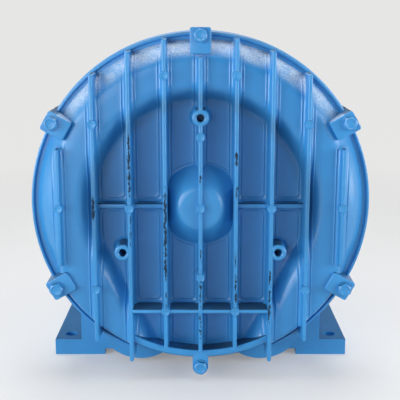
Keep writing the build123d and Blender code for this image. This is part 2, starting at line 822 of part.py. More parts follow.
with BuildPart() as shaft_seal:
    tube(seal_front, seal_front + seal_width, seal_r, seal_r - seal_case)
    tube(seal_front, seal_front + seal_case, seal_r, shaft_nose_r + seal_lip)
    tube(seal_front, seal_front + seal_width, shaft_nose_r + seal_lip, shaft_nose_r + seal_gap)
shaft_seal.part.label = "shaft_seal"
export_step(shaft_seal.part, "parts/shaft_seal.step")

# The two deep-groove ball bearings: rings, balls, cage and shields
bearings = (
    ("drive", drive_front, drive_width, drive_bore_r, drive_outer_r, drive_ball_r, drive_ball_count),
    ("rear", rear_front, rear_width, rear_bore_r, rear_outer_r, rear_ball_r, rear_ball_count),
)
for name, start, width, bore, outer, ball_r, count in bearings:
    pitch = (bore + outer) / 2
    middle = start + width / 2
    ring_wall = (outer - bore) / 2 - ball_r * race_share
    track = ball_r + ball_gap
    with BuildPart() as outer_ring:
        tube(start, start + width, outer, outer - ring_wall)
        with BuildSketch(section_at(90)):
            with Locations((middle, pitch)):
                Circle(track)
        revolve(axis=shaft_axis, mode=Mode.SUBTRACT)
    outer_ring.part.label = name + "_bearing_outer_ring"
    export_step(outer_ring.part, "parts/" + name + "_bearing_outer_ring.step")
    with BuildPart() as inner_ring:
        tube(start, start + width, bore + ring_wall, bore)
        with BuildSketch(section_at(90)):
            with Locations((middle, pitch)):
                Circle(track)
        revolve(axis=shaft_axis, mode=Mode.SUBTRACT)
    inner_ring.part.label = name + "_bearing_inner_ring"
    export_step(inner_ring.part, "parts/" + name + "_bearing_inner_ring.step")
    spots = [polar(pitch, 90 + 360 / count * step) for step in range(count)]
    with BuildPart() as balls:
        with Locations(*[facing(middle).from_local_coords(Vector(x, z, 0)) for x, z in spots]):
            Sphere(ball_r)
    balls.part.label = name + "_bearing_balls"
    export_step(balls.part, "parts/" + name + "_bearing_balls.step")
    with BuildPart() as cage:
        tube(middle - ball_r - cage_rim, middle + ball_r + cage_rim, pitch + cage_thickness / 2,
             pitch - cage_thickness / 2)
        for x, z in spots:
            pocket = Plane(origin=(x, face_y + middle, shaft_z + z), x_dir=(0, 1, 0), z_dir=(x, 0, z))
            with BuildSketch(pocket):
                Circle(ball_r + cage_gap)
            extrude(amount=cage_thickness, both=True, mode=Mode.SUBTRACT)
    cage.part.label = name + "_bearing_cage"
    export_step(cage.part, "parts/" + name + "_bearing_cage.step")
    with BuildPart() as shields:
        for shield_front in (start + shield_thickness, start + width - 2 * shield_thickness):
            tube(shield_front, shield_front + shield_thickness, outer - ring_wall,
                 bore + ring_wall + shield_gap)
    shields.part.label = name + "_bearing_shields"
    export_step(shields.part, "parts/" + name + "_bearing_shields.step")

with BuildPart() as bearing_retainer:
    tube(drive_back, drive_back + retainer_thickness,
         drive_outer_r + retainer_rim, drive_outer_r - retainer_grip)
    with BuildSketch(facing(drive_back)):
        with Locations((0, -drive_outer_r)):
            Rectangle(drive_outer_r / 2, drive_outer_r / 3)
    extrude(amount=-retainer_thickness, mode=Mode.SUBTRACT)
bearing_retainer.part.label = "bearing_retainer"
export_step(bearing_retainer.part, "parts/bearing_retainer.step")

with BuildPart() as wave_spring:
    tube(rear_back, rear_back + spring_height,
         rear_outer_r - spring_inset, rear_outer_r - spring_inset - spring_wall)
wave_spring.part.label = "wave_spring"
export_step(wave_spring.part, "parts/wave_spring.step")

# Motor frame: a finned sleeve with four bolt bosses and the terminal box pad
with BuildPart() as motor_frame:
    with BuildSketch(facing(frame_front)):
        Circle(frame_r)
        with PolarLocations((frame_r + fin_r - joint_overlap) / 2, fin_count, 180 / fin_count):
            Rectangle(fin_r - frame_r + joint_overlap, fin_thickness)
        with Locations(*tie_points):
            Circle(tie_boss_r)
        Circle(frame_bore_r, mode=Mode.SUBTRACT)
        with Locations(*tie_points):
            Circle(tie_bolt_r + bolt_clearance, mode=Mode.SUBTRACT)
    extrude(amount=-frame_length)
    with BuildSketch(facing(box_start)):
        with Locations((0, (frame_r + pad_height) / 2)):
            Rectangle(box_width - 2 * box_corner, pad_height - frame_r)
    extrude(amount=-box_length)
    bar(box_start, box_start + box_length, frame_bore_r, mode=Mode.SUBTRACT)
    with BuildSketch(box_plane(pad_height)):
        Circle(wire_hole_r)
    extrude(amount=-pad_height / 2, mode=Mode.SUBTRACT)
motor_frame.part.label = "motor_frame"
export_step(motor_frame.part, "parts/motor_frame.step")

with BuildPart() as stator_core:
    tube(stator_start, stator_back, frame_bore_r, stator_bore_r)
    with BuildSketch(facing(stator_start)):
        with PolarLocations(stator_bore_r + slot_depth / 2, slot_count, 180 / slot_count):
            Rectangle(slot_depth + joint_overlap / 2, slot_width)
    extrude(amount=-stator_length, mode=Mode.SUBTRACT)
stator_core.part.label = "stator_core"
export_step(stator_core.part, "parts/stator_core.step")

with BuildPart() as stator_windings:
    for coil_front in (stator_start - winding_length, stator_back):
        tube(coil_front, coil_front + winding_length, stator_bore_r + winding_wall,
             stator_bore_r + slot_opening / 2)
    with BuildSketch(facing(stator_start)):
        with PolarLocations(stator_bore_r + (slot_depth + slot_opening) / 2, slot_count, 180 / slot_count):
            Rectangle(slot_depth - slot_opening, slot_width - slot_liner)
    extrude(amount=-stator_length)
stator_windings.part.label = "stator_windings"
export_step(stator_windings.part, "parts/stator_windings.step")

with BuildPart() as rotor_core:
    tube(stator_start, stator_back, rotor_r, shaft_middle_r)
rotor_core.part.label = "rotor_core"
export_step(rotor_core.part, "parts/rotor_core.step")

with BuildPart() as rotor_end_rings:
    tube(stator_start - end_ring_length, stator_start, rotor_r, rotor_r - end_ring_wall)
    tube(stator_back, stator_back + end_ring_length, rotor_r, rotor_r - end_ring_wall)
rotor_end_rings.part.label = "rotor_end_rings"
export_step(rotor_end_rings.part, "parts/rotor_end_rings.step")

# Rear end bell with the tail bearing's seat
with BuildPart() as rear_end_bell:
    bar(frame_back, frame_back + bell_thickness, frame_r)
    bar(frame_back, frame_back + bell_thickness, tie_boss_r, tie_points)
    bar(frame_back, bell_back, rear_outer_r + bell_thickness)
    with BuildSketch(facing(frame_back)):
        with PolarLocations((rear_outer_r + bell_rib_r) / 2, tie_bolt_count, tie_angle):
            Rectangle(bell_rib_r - rear_outer_r, stiffener_thickness)
    extrude(amount=bell_rib_step - bell_depth)
    tube(frame_back - spigot_length, frame_back, frame_bore_r - seal_gap, frame_bore_r - spigot_wall)
    with BuildSketch(facing(frame_back)):
        with PolarLocations((frame_r + cowl_r - cowl_wall) / 2, 4, 0):
            Rectangle(cowl_r - cowl_wall - frame_r + 2 * joint_overlap, cowl_ear_width)
        Circle(cowl_r - cowl_wall, mode=Mode.INTERSECT)
    extrude(amount=-bell_thickness)
    bar(frame_back, rear_back + spring_height, rear_outer_r + bearing_gap, mode=Mode.SUBTRACT)
    bar(frame_back, bell_back, shaft_tail_r + tail_clearance, mode=Mode.SUBTRACT)
    bar(frame_back, bell_back, tie_bolt_r + bolt_clearance, tie_points, mode=Mode.SUBTRACT)
rear_end_bell.part.label = "rear_end_bell"
export_step(rear_end_bell.part, "parts/rear_end_bell.step")

with BuildPart() as motor_tie_bolts:
    bar(housing_depth - tie_thread, frame_back + bell_thickness, tie_bolt_r, tie_points)
    with BuildSketch(facing(frame_back + bell_thickness)):
        with Locations(*tie_points):
            RegularPolygon(tie_head_af / 2, 6, major_radius=False)
    extrude(amount=-tie_head_height)
motor_tie_bolts.part.label = "motor_tie_bolts"
export_step(motor_tie_bolts.part, "parts/motor_tie_bolts.step")

# Cooling fan, its ring, and the cowl
with BuildPart() as cooling_fan:
    bar(fan_front, fan_back, fan_hub_r)
    bar(fan_front, fan_front + fan_disc, fan_r - cowl_corner)
    with BuildSketch(facing(fan_front)):
        with PolarLocations((fan_hub_r + fan_r) / 2 - blade_sink, fan_blades):
            Rectangle(fan_r - fan_hub_r, fan_blade_thickness)
    extrude(amount=-fan_width)
    bar(fan_front, fan_back, shaft_tail_r + bearing_gap, mode=Mode.SUBTRACT)
cooling_fan.part.label = "cooling_fan"
export_step(cooling_fan.part, "parts/cooling_fan.step")

with BuildPart() as fan_retainer:
    tube(fan_back, fan_back + retainer_thickness,
         shaft_tail_r + tail_clearance, shaft_tail_r - retainer_grip)
    with BuildSketch(facing(fan_back)):
        with Locations((0, -shaft_tail_r)):
            Rectangle(shaft_tail_r / 2, shaft_tail_r)
    extrude(amount=-retainer_thickness, mode=Mode.SUBTRACT)
fan_retainer.part.label = "fan_retainer"
export_step(fan_retainer.part, "parts/fan_retainer.step")

with BuildPart() as fan_cowl:
    with BuildSketch(section_at(90)):
        with BuildLine():
            corner_centre = (cowl_back - cowl_corner, cowl_r - cowl_corner)
            outer_corner = CenterArc(corner_centre, cowl_corner, 90, -90)
            inner_corner = CenterArc(corner_centre, cowl_corner - cowl_wall, 90, -90)
            Polyline(
                outer_corner @ 0, (cowl_front, cowl_r), (cowl_front, cowl_r - cowl_wall), inner_corner @ 0
            )
            Polyline(outer_corner @ 1, (cowl_back, 0), (cowl_back - cowl_wall, 0), inner_corner @ 1)
        make_face()
    revolve(axis=shaft_axis)
    with BuildSketch(facing(cowl_back - 2 * cowl_wall)):
        for ring in reversed(range(grille_rings)):
            Circle(grille_inner_r + ring * grille_pitch + grille_slot)
            Circle(grille_inner_r + ring * grille_pitch, mode=Mode.SUBTRACT)
        for angle in range(0, 180, 180 // (grille_spokes // 2)):
            Rectangle(2 * cowl_r, grille_spoke_width, rotation=angle + 45, mode=Mode.SUBTRACT)
    extrude(amount=-3 * cowl_wall, mode=Mode.SUBTRACT)
    for plane in cowl_screw_planes(cowl_r + joint_overlap):
        with BuildSketch(plane):
            Circle(cowl_screw_r + bolt_clearance)
        extrude(amount=-cowl_wall - 2 * joint_overlap, mode=Mode.SUBTRACT)
fan_cowl.part.label = "fan_cowl"
export_step(fan_cowl.part, "parts/fan_cowl.step")

with BuildPart() as fan_cowl_screws:
    for plane in cowl_screw_planes(cowl_r):
        with BuildSketch(plane):
            Circle(cowl_screw_head_r)
        extrude(amount=cowl_screw_r)
        with BuildSketch(plane):
            Circle(cowl_screw_r)
        extrude(amount=-cowl_wall)
fan_cowl_screws.part.label = "fan_cowl_screws"
export_step(fan_cowl_screws.part, "parts/fan_cowl_screws.step")

# Terminal box: an open shell on the frame's pad, with gasket, lid, block and studs
box_top = pad_height + box_height
lid_base = box_top + lid_gasket
with BuildPart() as terminal_box:
    with BuildSketch(box_plane(pad_height)):
        RectangleRounded(box_width, box_length, box_corner)
    extrude(amount=box_height)
    with BuildSketch(box_plane(pad_height + box_wall)):
        RectangleRounded(box_width - 2 * box_wall, box_length - 2 * box_wall, box_corner - box_wall)
    extrude(amount=box_height, mode=Mode.SUBTRACT)
    with BuildSketch(box_plane(pad_height)):
        with Locations(*box_screw_points):
            Circle(box_post_r)
    extrude(amount=box_height)
    with BuildSketch(conduit_plane(box_width / 2 - box_wall)):
        Circle(conduit_boss_r)
    extrude(amount=box_wall + conduit_boss_length)
    with BuildSketch(conduit_plane(0)):
        Circle(conduit_r)
    extrude(amount=box_width, mode=Mode.SUBTRACT)
    with BuildSketch(box_plane(pad_height)):
        Circle(wire_hole_r)
    extrude(amount=box_wall, mode=Mode.SUBTRACT)
    with BuildSketch(box_plane(box_top)):
        with Locations(*box_screw_points):
            Circle(box_screw_r + thread_clearance)
    extrude(amount=-box_screw_length, mode=Mode.SUBTRACT)
terminal_box.part.label = "terminal_box"
export_step(terminal_box.part, "parts/terminal_box.step")

with BuildPart() as terminal_lid_gasket:
    with BuildSketch(box_plane(box_top)):
        RectangleRounded(box_width, box_length, box_corner)
        RectangleRounded(box_width - 2 * box_wall, box_length - 2 * box_wall, box_corner - box_wall,
                         mode=Mode.SUBTRACT)
        with Locations(*box_screw_points):
            Circle(box_post_r)
            Circle(box_screw_r + bolt_clearance, mode=Mode.SUBTRACT)
    extrude(amount=lid_gasket)
terminal_lid_gasket.part.label = "terminal_lid_gasket"
export_step(terminal_lid_gasket.part, "parts/terminal_lid_gasket.step")

with BuildPart() as terminal_lid:
    with BuildSketch(box_plane(lid_base)):
        RectangleRounded(box_width, box_length, box_corner)
    extrude(amount=lid_height)
    fillet(terminal_lid.faces().sort_by(Axis.Z)[-1].edges(), lid_height / 3)
    with BuildSketch(box_plane(lid_base)):
        RectangleRounded(box_width - 2 * box_wall, box_length - 2 * box_wall, box_corner - box_wall)
        with Locations(*box_screw_points):
            Circle(box_post_r, mode=Mode.SUBTRACT)
    extrude(amount=lid_height - box_wall, mode=Mode.SUBTRACT)
    with BuildSketch(box_plane(lid_base)):
        with Locations(*box_screw_points):
            Circle(box_screw_r + bolt_clearance)
    extrude(amount=lid_height, mode=Mode.SUBTRACT)
terminal_lid.part.label = "terminal_lid"
export_step(terminal_lid.part, "parts/terminal_lid.step")

lid_top = lid_base + lid_height
with BuildPart() as terminal_lid_screws:
    with BuildSketch(box_plane(lid_top)):
        with Locations(*box_screw_points):
            Circle(box_screw_head_r)
    extrude(amount=box_screw_head_height)
    with BuildSketch(box_plane(lid_top)):
        with Locations(*box_screw_points):
            Circle(box_screw_r)
    extrude(amount=-box_screw_length - lid_height)
    with BuildSketch(box_plane(lid_top + box_screw_head_height)):
        with Locations(*box_screw_points):
            Rectangle(2 * box_screw_head_r, box_screw_r / 2)
    extrude(amount=-box_screw_head_height / 2, mode=Mode.SUBTRACT)
terminal_lid_screws.part.label = "terminal_lid_screws"
export_step(terminal_lid_screws.part, "parts/terminal_lid_screws.step")

with BuildPart() as terminal_block:
    with BuildSketch(box_plane(pad_height + box_wall)):
        with Locations((0, block_offset)):
            Rectangle(block_length, block_width)
    extrude(amount=block_height)
    with BuildSketch(box_plane(pad_height + box_wall + block_height)):
        with Locations((0, block_offset)):
            with GridLocations(block_length / stud_columns, block_width / 2, stud_columns - 1, 1):
                Rectangle(block_fin, block_width)
    extrude(amount=block_height / 2)
terminal_block.part.label = "terminal_block"
export_step(terminal_block.part, "parts/terminal_block.step")

with BuildPart() as terminal_studs:
    with BuildSketch(box_plane(pad_height + box_wall + block_height)):
        with Locations((0, block_offset)):
            with GridLocations(block_length / stud_columns, block_width / 2, stud_columns, 2):
                Circle(stud_r)
    extrude(amount=stud_height)
    with BuildSketch(box_plane(pad_height + box_wall + block_height)):
        with Locations((0, block_offset)):
            with GridLocations(block_length / stud_columns, block_width / 2, stud_columns, 2):
                RegularPolygon(2 * stud_r, 6)
    extrude(amount=stud_height / 3)
terminal_studs.part.label = "terminal_studs"
export_step(terminal_studs.part, "parts/terminal_studs.step")
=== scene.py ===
"""Side-channel blower: the cast cover, the housing and the motor, dressed for display."""
import logging
import math
from dataclasses import dataclass
from enum import Enum
from typing import Any, Sequence

import bmesh
import bpy
import numpy as np
from mathutils import Matrix


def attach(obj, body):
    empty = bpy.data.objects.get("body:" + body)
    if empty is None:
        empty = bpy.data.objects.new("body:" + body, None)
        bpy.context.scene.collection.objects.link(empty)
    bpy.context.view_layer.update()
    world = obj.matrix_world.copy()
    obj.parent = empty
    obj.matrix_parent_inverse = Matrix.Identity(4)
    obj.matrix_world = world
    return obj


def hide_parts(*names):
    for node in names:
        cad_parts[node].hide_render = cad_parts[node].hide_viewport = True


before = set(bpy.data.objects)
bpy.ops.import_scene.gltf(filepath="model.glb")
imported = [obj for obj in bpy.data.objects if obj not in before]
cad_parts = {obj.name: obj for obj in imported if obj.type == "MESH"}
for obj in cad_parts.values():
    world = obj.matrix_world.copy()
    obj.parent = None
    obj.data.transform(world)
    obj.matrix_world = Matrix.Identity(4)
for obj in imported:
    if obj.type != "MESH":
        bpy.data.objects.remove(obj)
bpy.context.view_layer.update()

MM = 0.001
BODY = "machine"
LOG = logging.getLogger("blower")
Array = np.ndarray
Colour = tuple[float, float, float]
Span = tuple[float, float]


# ---------------------------------------------------------------- shader maths

class Sock:
    """A node socket that takes part in Python arithmetic by adding Math nodes."""

    def __init__(self, shader: "Shader", socket: bpy.types.NodeSocket) -> None:
        """Keep the socket and the shader that it belongs to."""
        self.shader = shader
        self.socket = socket

    def _math(self, operation: str, *others: Any) -> "Sock":
        """Add one Math node on this socket."""
        return self.shader.node("ShaderNodeMath", {"operation": operation}, (self, *others))

    def __add__(self, other: Any) -> "Sock":
        """Sum."""
        return self._math("ADD", other)

    __radd__ = __add__

    def __mul__(self, other: Any) -> "Sock":
        """Product."""
        return self._math("MULTIPLY", other)

    __rmul__ = __mul__

    def __sub__(self, other: Any) -> "Sock":
        """Difference."""
        return self._math("SUBTRACT", other)

    def __rsub__(self, other: Any) -> "Sock":
        """Difference from a number."""
        return self.shader.node("ShaderNodeMath", {"operation": "SUBTRACT"}, (other, self))

    def __gt__(self, other: Any) -> "Sock":
        """One where this is greater."""
        return self._math("GREATER_THAN", other)

    def __abs__(self) -> "Sock":
        """Size without sign."""
        return self._math("ABSOLUTE")

    def root(self) -> "Sock":
        """Square root."""
        return self._math("SQRT")

    def max(self, other: Any) -> "Sock":
        """The greater of the two."""
        return self._math("MAXIMUM", other)

    def ramp(self, low: float, high: float) -> "Sock":
        """Smooth step from 0 at low to 1 at high."""
        settings = {"interpolation_type": "SMOOTHSTEP"}
        return self.shader.node("ShaderNodeMapRange", settings, (self, low, high, 0.0, 1.0))


class Shader:
    """One material's node tree, with helpers that add nodes."""

    def __init__(self, name: str) -> None:
        """Start a material with a Principled surface.

        Args:
            name: The material's name.
        """
        self.material = bpy.data.materials.new(name)
        self.material.use_nodes = True
        self.tree = self.material.node_tree
        self.surface = self.tree.nodes["Principled BSDF"]
        coordinates = self.tree.nodes.new("ShaderNodeTexCoord")
        self.place = Sock(self, coordinates.outputs["Object"])

    def node(self, kind: str, settings: dict[str, Any], inputs: Sequence[Any]) -> Sock:
        """Add a node, set it and feed its sockets in order.

        Args:
            kind: The node's type.
            settings: Attributes set before anything is linked.
            inputs: Values or sockets, in the order of the node's enabled inputs.

        Returns:
            The node's first enabled output.
        """
        made = self.tree.nodes.new(kind)
        for key, value in settings.items():
            setattr(made, key, value)
        for socket, value in zip([socket for socket in made.inputs if socket.enabled], inputs):
            self.feed(socket, value)
        return Sock(self, next(socket for socket in made.outputs if socket.enabled))

    def feed(self, socket: bpy.types.NodeSocket, value: Any) -> None:
        """Link a socket or set its value.

        Args:
            socket: The input to feed.
            value: A Sock to link, a value to set, or None to leave the input alone.
        """
        if value is None:
            return
        if isinstance(value, Sock):
            self.tree.links.new(value.socket, socket)
        elif isinstance(value, tuple) and len(value) == 3 and socket.type == "RGBA":
            socket.default_value = (*value, 1.0)
        else:
            socket.default_value = value

    def noise(self, scale: float, detail: float = 3.0, rough: float = 0.5, at: Any = None) -> Sock:
        """Fractal noise over the object's own coordinates, scale in cycles per metre."""
        settings = {"noise_dimensions": "3D"}
        return self.node("ShaderNodeTexNoise", settings, (at or self.place, scale, detail, rough))

    def split(self, vector: Sock) -> tuple[Sock, Sock, Sock]:
        """Take a vector apart.

        Args:
            vector: The vector's socket.

        Returns:
            Its X, Y and Z.
        """
        made = self.tree.nodes.new("ShaderNodeSeparateXYZ")
        self.tree.links.new(vector.socket, made.inputs[0])
        return tuple(Sock(self, output) for output in made.outputs)

    def normal(self) -> tuple[Sock, Sock, Sock]:
        """The surface's own normal, as X, Y and Z."""
        made = self.tree.nodes.new("ShaderNodeNewGeometry")
        return self.split(Sock(self, made.outputs["Normal"]))

    def seen(self) -> Sock:
        """Tell what the camera sees from what only lights the scene.

        Returns:
            One for rays from the camera and for rays off glossy or through clear surfaces.
        """
        made = self.tree.nodes.new("ShaderNodeLightPath")
        rays = [Sock(self, made.outputs[f"Is {kind} Ray"]) for kind in ("Camera", "Glossy", "Transmission")]
        return rays[0].max(rays[1]).max(rays[2])

    def stretch(self, scale: tuple[float, float, float]) -> Sock:
        """Object coordinates scaled along each axis."""
        return self.node("ShaderNodeMapping", {}, (self.place, None, None, scale))

    def mix(self, share: Any, first: Any, second: Any) -> Sock:
        """Mix two colours.

        Args:
            share: Share of the second colour, 0 to 1.
            first: A colour or its socket.
            second: A colour or its socket.

        Returns:
            The mixed colour.
        """
        return self.node("ShaderNodeMix", {"data_type": "RGBA"}, (share, first, second))

    def bump(self, height: Sock, distance: float) -> None:
        """Feed a height to the surface's normal.

        Args:
            height: The height, as a share of the distance.
            distance: What a height of one stands for, in metres.
        """
        made = self.tree.nodes.new("ShaderNodeBump")
        for name, value in (("Strength", 1.0), ("Distance", distance), ("Height", height)):
            self.feed(made.inputs[name], value)
        self.tree.links.new(made.outputs["Normal"], self.surface.inputs["Normal"])

    def set(self, **values: Any) -> None:
        """Set or feed the surface's sockets by name, with underscores for spaces."""
        for key, value in values.items():
            self.feed(self.surface.inputs[key.replace("_", " ")], value)


# ---------------------------------------------------------------- finishes

@dataclass(frozen=True)
class Enamel:
    """Glossy machine enamel over rough castings, with dust and a painted sheen, grime and painted shade, and
    chips on the rib edges.

    Its masks fade in between two distances from the shaft, in metres.
    """

    name: str
    colour: Colour
    dark: Colour
    # Strength of the dust, which carries a painted sheen.
    dust_and_sheen: float = 0.0
    # Strength of the grime, which carries painted shade.
    shade_and_grime: float = 0.0
    chips: bool = False
    roughness: float = 0.36
    grain: float = 0.00008
    coat: float = 0.45
    coat_roughness: float = 0.2
    index: float = 1.4
    # Colour of the dust and its painted sheen.
    dust_and_sheen_colour: Colour = (0.64, 0.74, 0.84)
    # Colour of the grime and its painted shade.
    shade_and_grime_colour: Colour = (0.012, 0.03, 0.045)
    primer_colour: Colour = (0.002, 0.02, 0.055)
    # Where the painted shade of the recess and of its edge fades in.
    recess_r: Span = (0.1, 0.108)
    edge_inner_r: Span = (0.084, 0.094)
    edge_outer_r: Span = (0.096, 0.107)
    # Where the dust and its painted sheen fade in.
    slope_r: Span = (0.126, 0.142)
    wall_r: Span = (0.1485, 0.1505)
    chip_inset: float = 0.0006
    chip_spread: float = 0.008

    def build(self) -> bpy.types.Material:
        """Make the material.

        Returns:
            The enamel: two blues mixed by slow noise, dark grime with painted shade on the ledges,
            painted shade in the recess and along its edge, pale dust with a painted sheen on the
            slopes, and the dark primer showing in spots along the ribs' front edges.
        """
        shader = Shader(self.name)
        slow = shader.noise(14.0, 4.0, 0.6)
        fine = shader.noise(420.0, 2.0, 0.5)
        colour = shader.mix(slow.ramp(0.35, 0.7), self.colour, self.dark)
        rough = self.roughness + 0.12 * slow
        height = 0.6 * fine + shader.noise(110.0, 3.0, 0.5)
        coat = self.coat
        # Grime with painted shade: darker ledges, recess and recess edge.
        if self.shade_and_grime > 0:
            shade_and_grime_mask = self._painted_shade_and_grime(shader, slow)
            colour = shader.mix(shade_and_grime_mask, colour, self.shade_and_grime_colour)
            rough = rough + 0.3 * shade_and_grime_mask
        # Dust with a painted sheen: paler on the outer slope where it faces up.
        if self.dust_and_sheen > 0:
            dust_and_sheen_mask = self._dust_and_sheen(shader)
            colour = shader.mix(dust_and_sheen_mask, colour, self.dust_and_sheen_colour)
            rough = rough + 0.35 * dust_and_sheen_mask
        if self.chips:
            spots = self._chips(shader)
            colour = shader.mix(spots, colour, self.primer_colour)
            rough = rough + 0.3 * spots
            height = height - 1.5 * spots
            coat = self.coat * (1.0 - spots)
        shader.set(Base_Color=colour, Roughness=rough, Coat_Weight=coat, Coat_Roughness=self.coat_roughness,
                   IOR=self.index)
        shader.bump(height, self.grain)
        return shader.material

    def _round_shaft(self, shader: Shader) -> tuple[Sock, Sock, Sock]:
        """Where the surface is and how it lies.

        Args:
            shader: The material's shader.

        Returns:
            Height above the shaft, distance from the shaft's line, and the normal's upward part.
        """
        x, _, z = shader.split(shader.place)
        _, _, up = shader.normal()
        height = z - FORM.shaft_z * MM
        return height, (x * x + height * height).root(), up

    def _painted_shade_and_grime(self, shader: Shader, slow: Sock) -> Sock:
        """Mask of the grime and painted shade: grime with painted shade on ledges, painted shade in the
        recess and most of all along its edge.

        Args:
            shader: The material's shader.
            slow: Noise that makes the ledges' grime and painted shade patchy.

        Returns:
            The mask, 0 to 1.
        """
        height, radius, up = self._round_shaft(shader)
        # Grime with painted shade: darker on ledges that face up.
        ledge_grime_and_shade = up.ramp(0.72, 0.96) * slow.ramp(0.1, 0.5)
        # Painted shade: the recess darker than the crest.
        recess_shade = 1.0 - radius.ramp(*self.recess_r)
        # Painted shade: the inner slope darker along the plate's edge, on its upper part.
        edge = radius.ramp(*self.edge_inner_r) * (1.0 - radius.ramp(*self.edge_outer_r))
        edge = edge * height.ramp(-0.05, -0.01)
        return ledge_grime_and_shade.max(0.12 * recess_shade + 0.3 * edge) * self.shade_and_grime

    def _dust_and_sheen(self, shader: Shader) -> Sock:
        """Mask of the pale dust and painted sheen on the outer slope, high up on the machine and thin on the
        rim's wall.

        Args:
            shader: The material's shader.

        Returns:
            The mask, 0 to 1.
        """
        height, radius, up = self._round_shaft(shader)
        outside = radius.ramp(*self.slope_r)
        wall = 1.0 - 0.8 * radius.ramp(*self.wall_r)
        speckle = shader.noise(1100.0, 3.0, 0.75)
        patch = shader.noise(45.0, 4.0, 0.6)
        spread = outside * wall * height.ramp(0.04, 0.1) * patch.ramp(0.2, 0.6)
        return up.ramp(0.2, 0.6) * spread * speckle.ramp(0.32, 0.6) * self.dust_and_sheen

    def _chips(self, shader: Shader) -> Sock:
        """Mask of the chipped paint along the front edges of the ribs.

        Formula: each worn stretch is a strip that narrows to its ends, with noise on its outline.

        Args:
            shader: The material's shader.

        Returns:
            The mask, 0 to 1.
        """
        x, y, z = shader.split(shader.place)
        front = (y * -1.0).ramp(-FORM.face_y * MM - 0.0016, -FORM.face_y * MM - 0.0006)
        ragged = shader.noise(520.0, 4.0, 0.75, shader.stretch((1.0, 1.0, 0.5))) - 0.48
        ragged, inset = ragged * self.chip_spread, self.chip_inset
        total = None
        for wear in RIB_WEAR:
            off = abs(x - (wear.rib * FORM.rib_pitch + wear.side) * MM)
            span = abs(z - (FORM.shaft_z + wear.height) * MM)
            along = 1.0 - span.ramp(wear.length * MM * 0.3, wear.length * MM * 0.5)
            strip = along * (wear.half * MM + inset) + ragged - off - inset
            spot = strip.ramp(0.0, 0.0002) * (along > 0.02)
            total = spot if total is None else total.max(spot)
        return total * front


@dataclass(frozen=True)
class Metal:
    """Bare metal with a fine grain."""

    name: str
    colour: Colour
    roughness: float = 0.35
    grain: float = 0.00002
    scale: float = 700.0
    metallic: float = 1.0

    def build(self) -> bpy.types.Material:
        """Make the material: colour and roughness both follow fine noise."""
        shader = Shader(self.name)
        fine = shader.noise(self.scale, 3.0, 0.6)
        slow = shader.noise(40.0, 3.0, 0.5)
        darker = tuple(0.72 * part for part in self.colour)
        colour = shader.mix(slow.ramp(0.3, 0.8), self.colour, darker)
        shader.set(Base_Color=colour, Metallic=self.metallic, Roughness=self.roughness + 0.2 * fine)
        shader.bump(fine, self.grain)
        return shader.material


@dataclass(frozen=True)
class Plain:
    """Rubber, foam or moulded plastic with a fine texture."""

    name: str
    colour: Colour
    roughness: float = 0.6
    grain: float = 0.00005
    scale: float = 500.0

    def build(self) -> bpy.types.Material:
        """Make the material: a matte colour that fades slightly in patches."""
        shader = Shader(self.name)
        fine = shader.noise(self.scale, 4.0, 0.6)
        slow = shader.noise(30.0, 3.0, 0.5)
        lighter = tuple(min(1.0, 1.5 * part + 0.01) for part in self.colour)
        shader.set(Base_Color=shader.mix(slow.ramp(0.4, 0.8), self.colour, lighter),
                   Roughness=self.roughness + 0.15 * fine)
        shader.bump(fine, self.grain)
        return shader.material


@dataclass(frozen=True)
class StudioFloor:
    """The studio's matt floor, pale to the camera and in reflections."""

    name: str
    pale: Colour
    shade: Colour
    glow: Colour
    far_glow: Colour
    near_r: float = 0.4
    far_r: float = 1.2

    def build(self) -> bpy.types.Material:
        """Make the material.

        Returns:
            The floor: away from the machine, a glow that only the camera sees takes over from the
            lamps' light, so that the floor is as pale there as it is close by.
        """
        shader = Shader(self.name)
        x, y, _ = shader.split(shader.place)
        far = (x * x + y * y).root().ramp(self.near_r, self.far_r)
        seen = shader.seen()
        warm = tuple(0.94 * part for part in self.pale)
        near = shader.mix(shader.noise(3.0, 3.0, 0.5), warm, self.pale)
        body = shader.mix(far, near, (0.008, 0.008, 0.008))
        glow = shader.mix(far, self.glow, self.far_glow)
        shader.set(Base_Color=shader.mix(seen, self.shade, body), Roughness=1.0, Specular_IOR_Level=0.0,
                   Emission_Color=shader.mix(seen, (0.0, 0.0, 0.0), glow), Emission_Strength=1.0)
        return shader.material


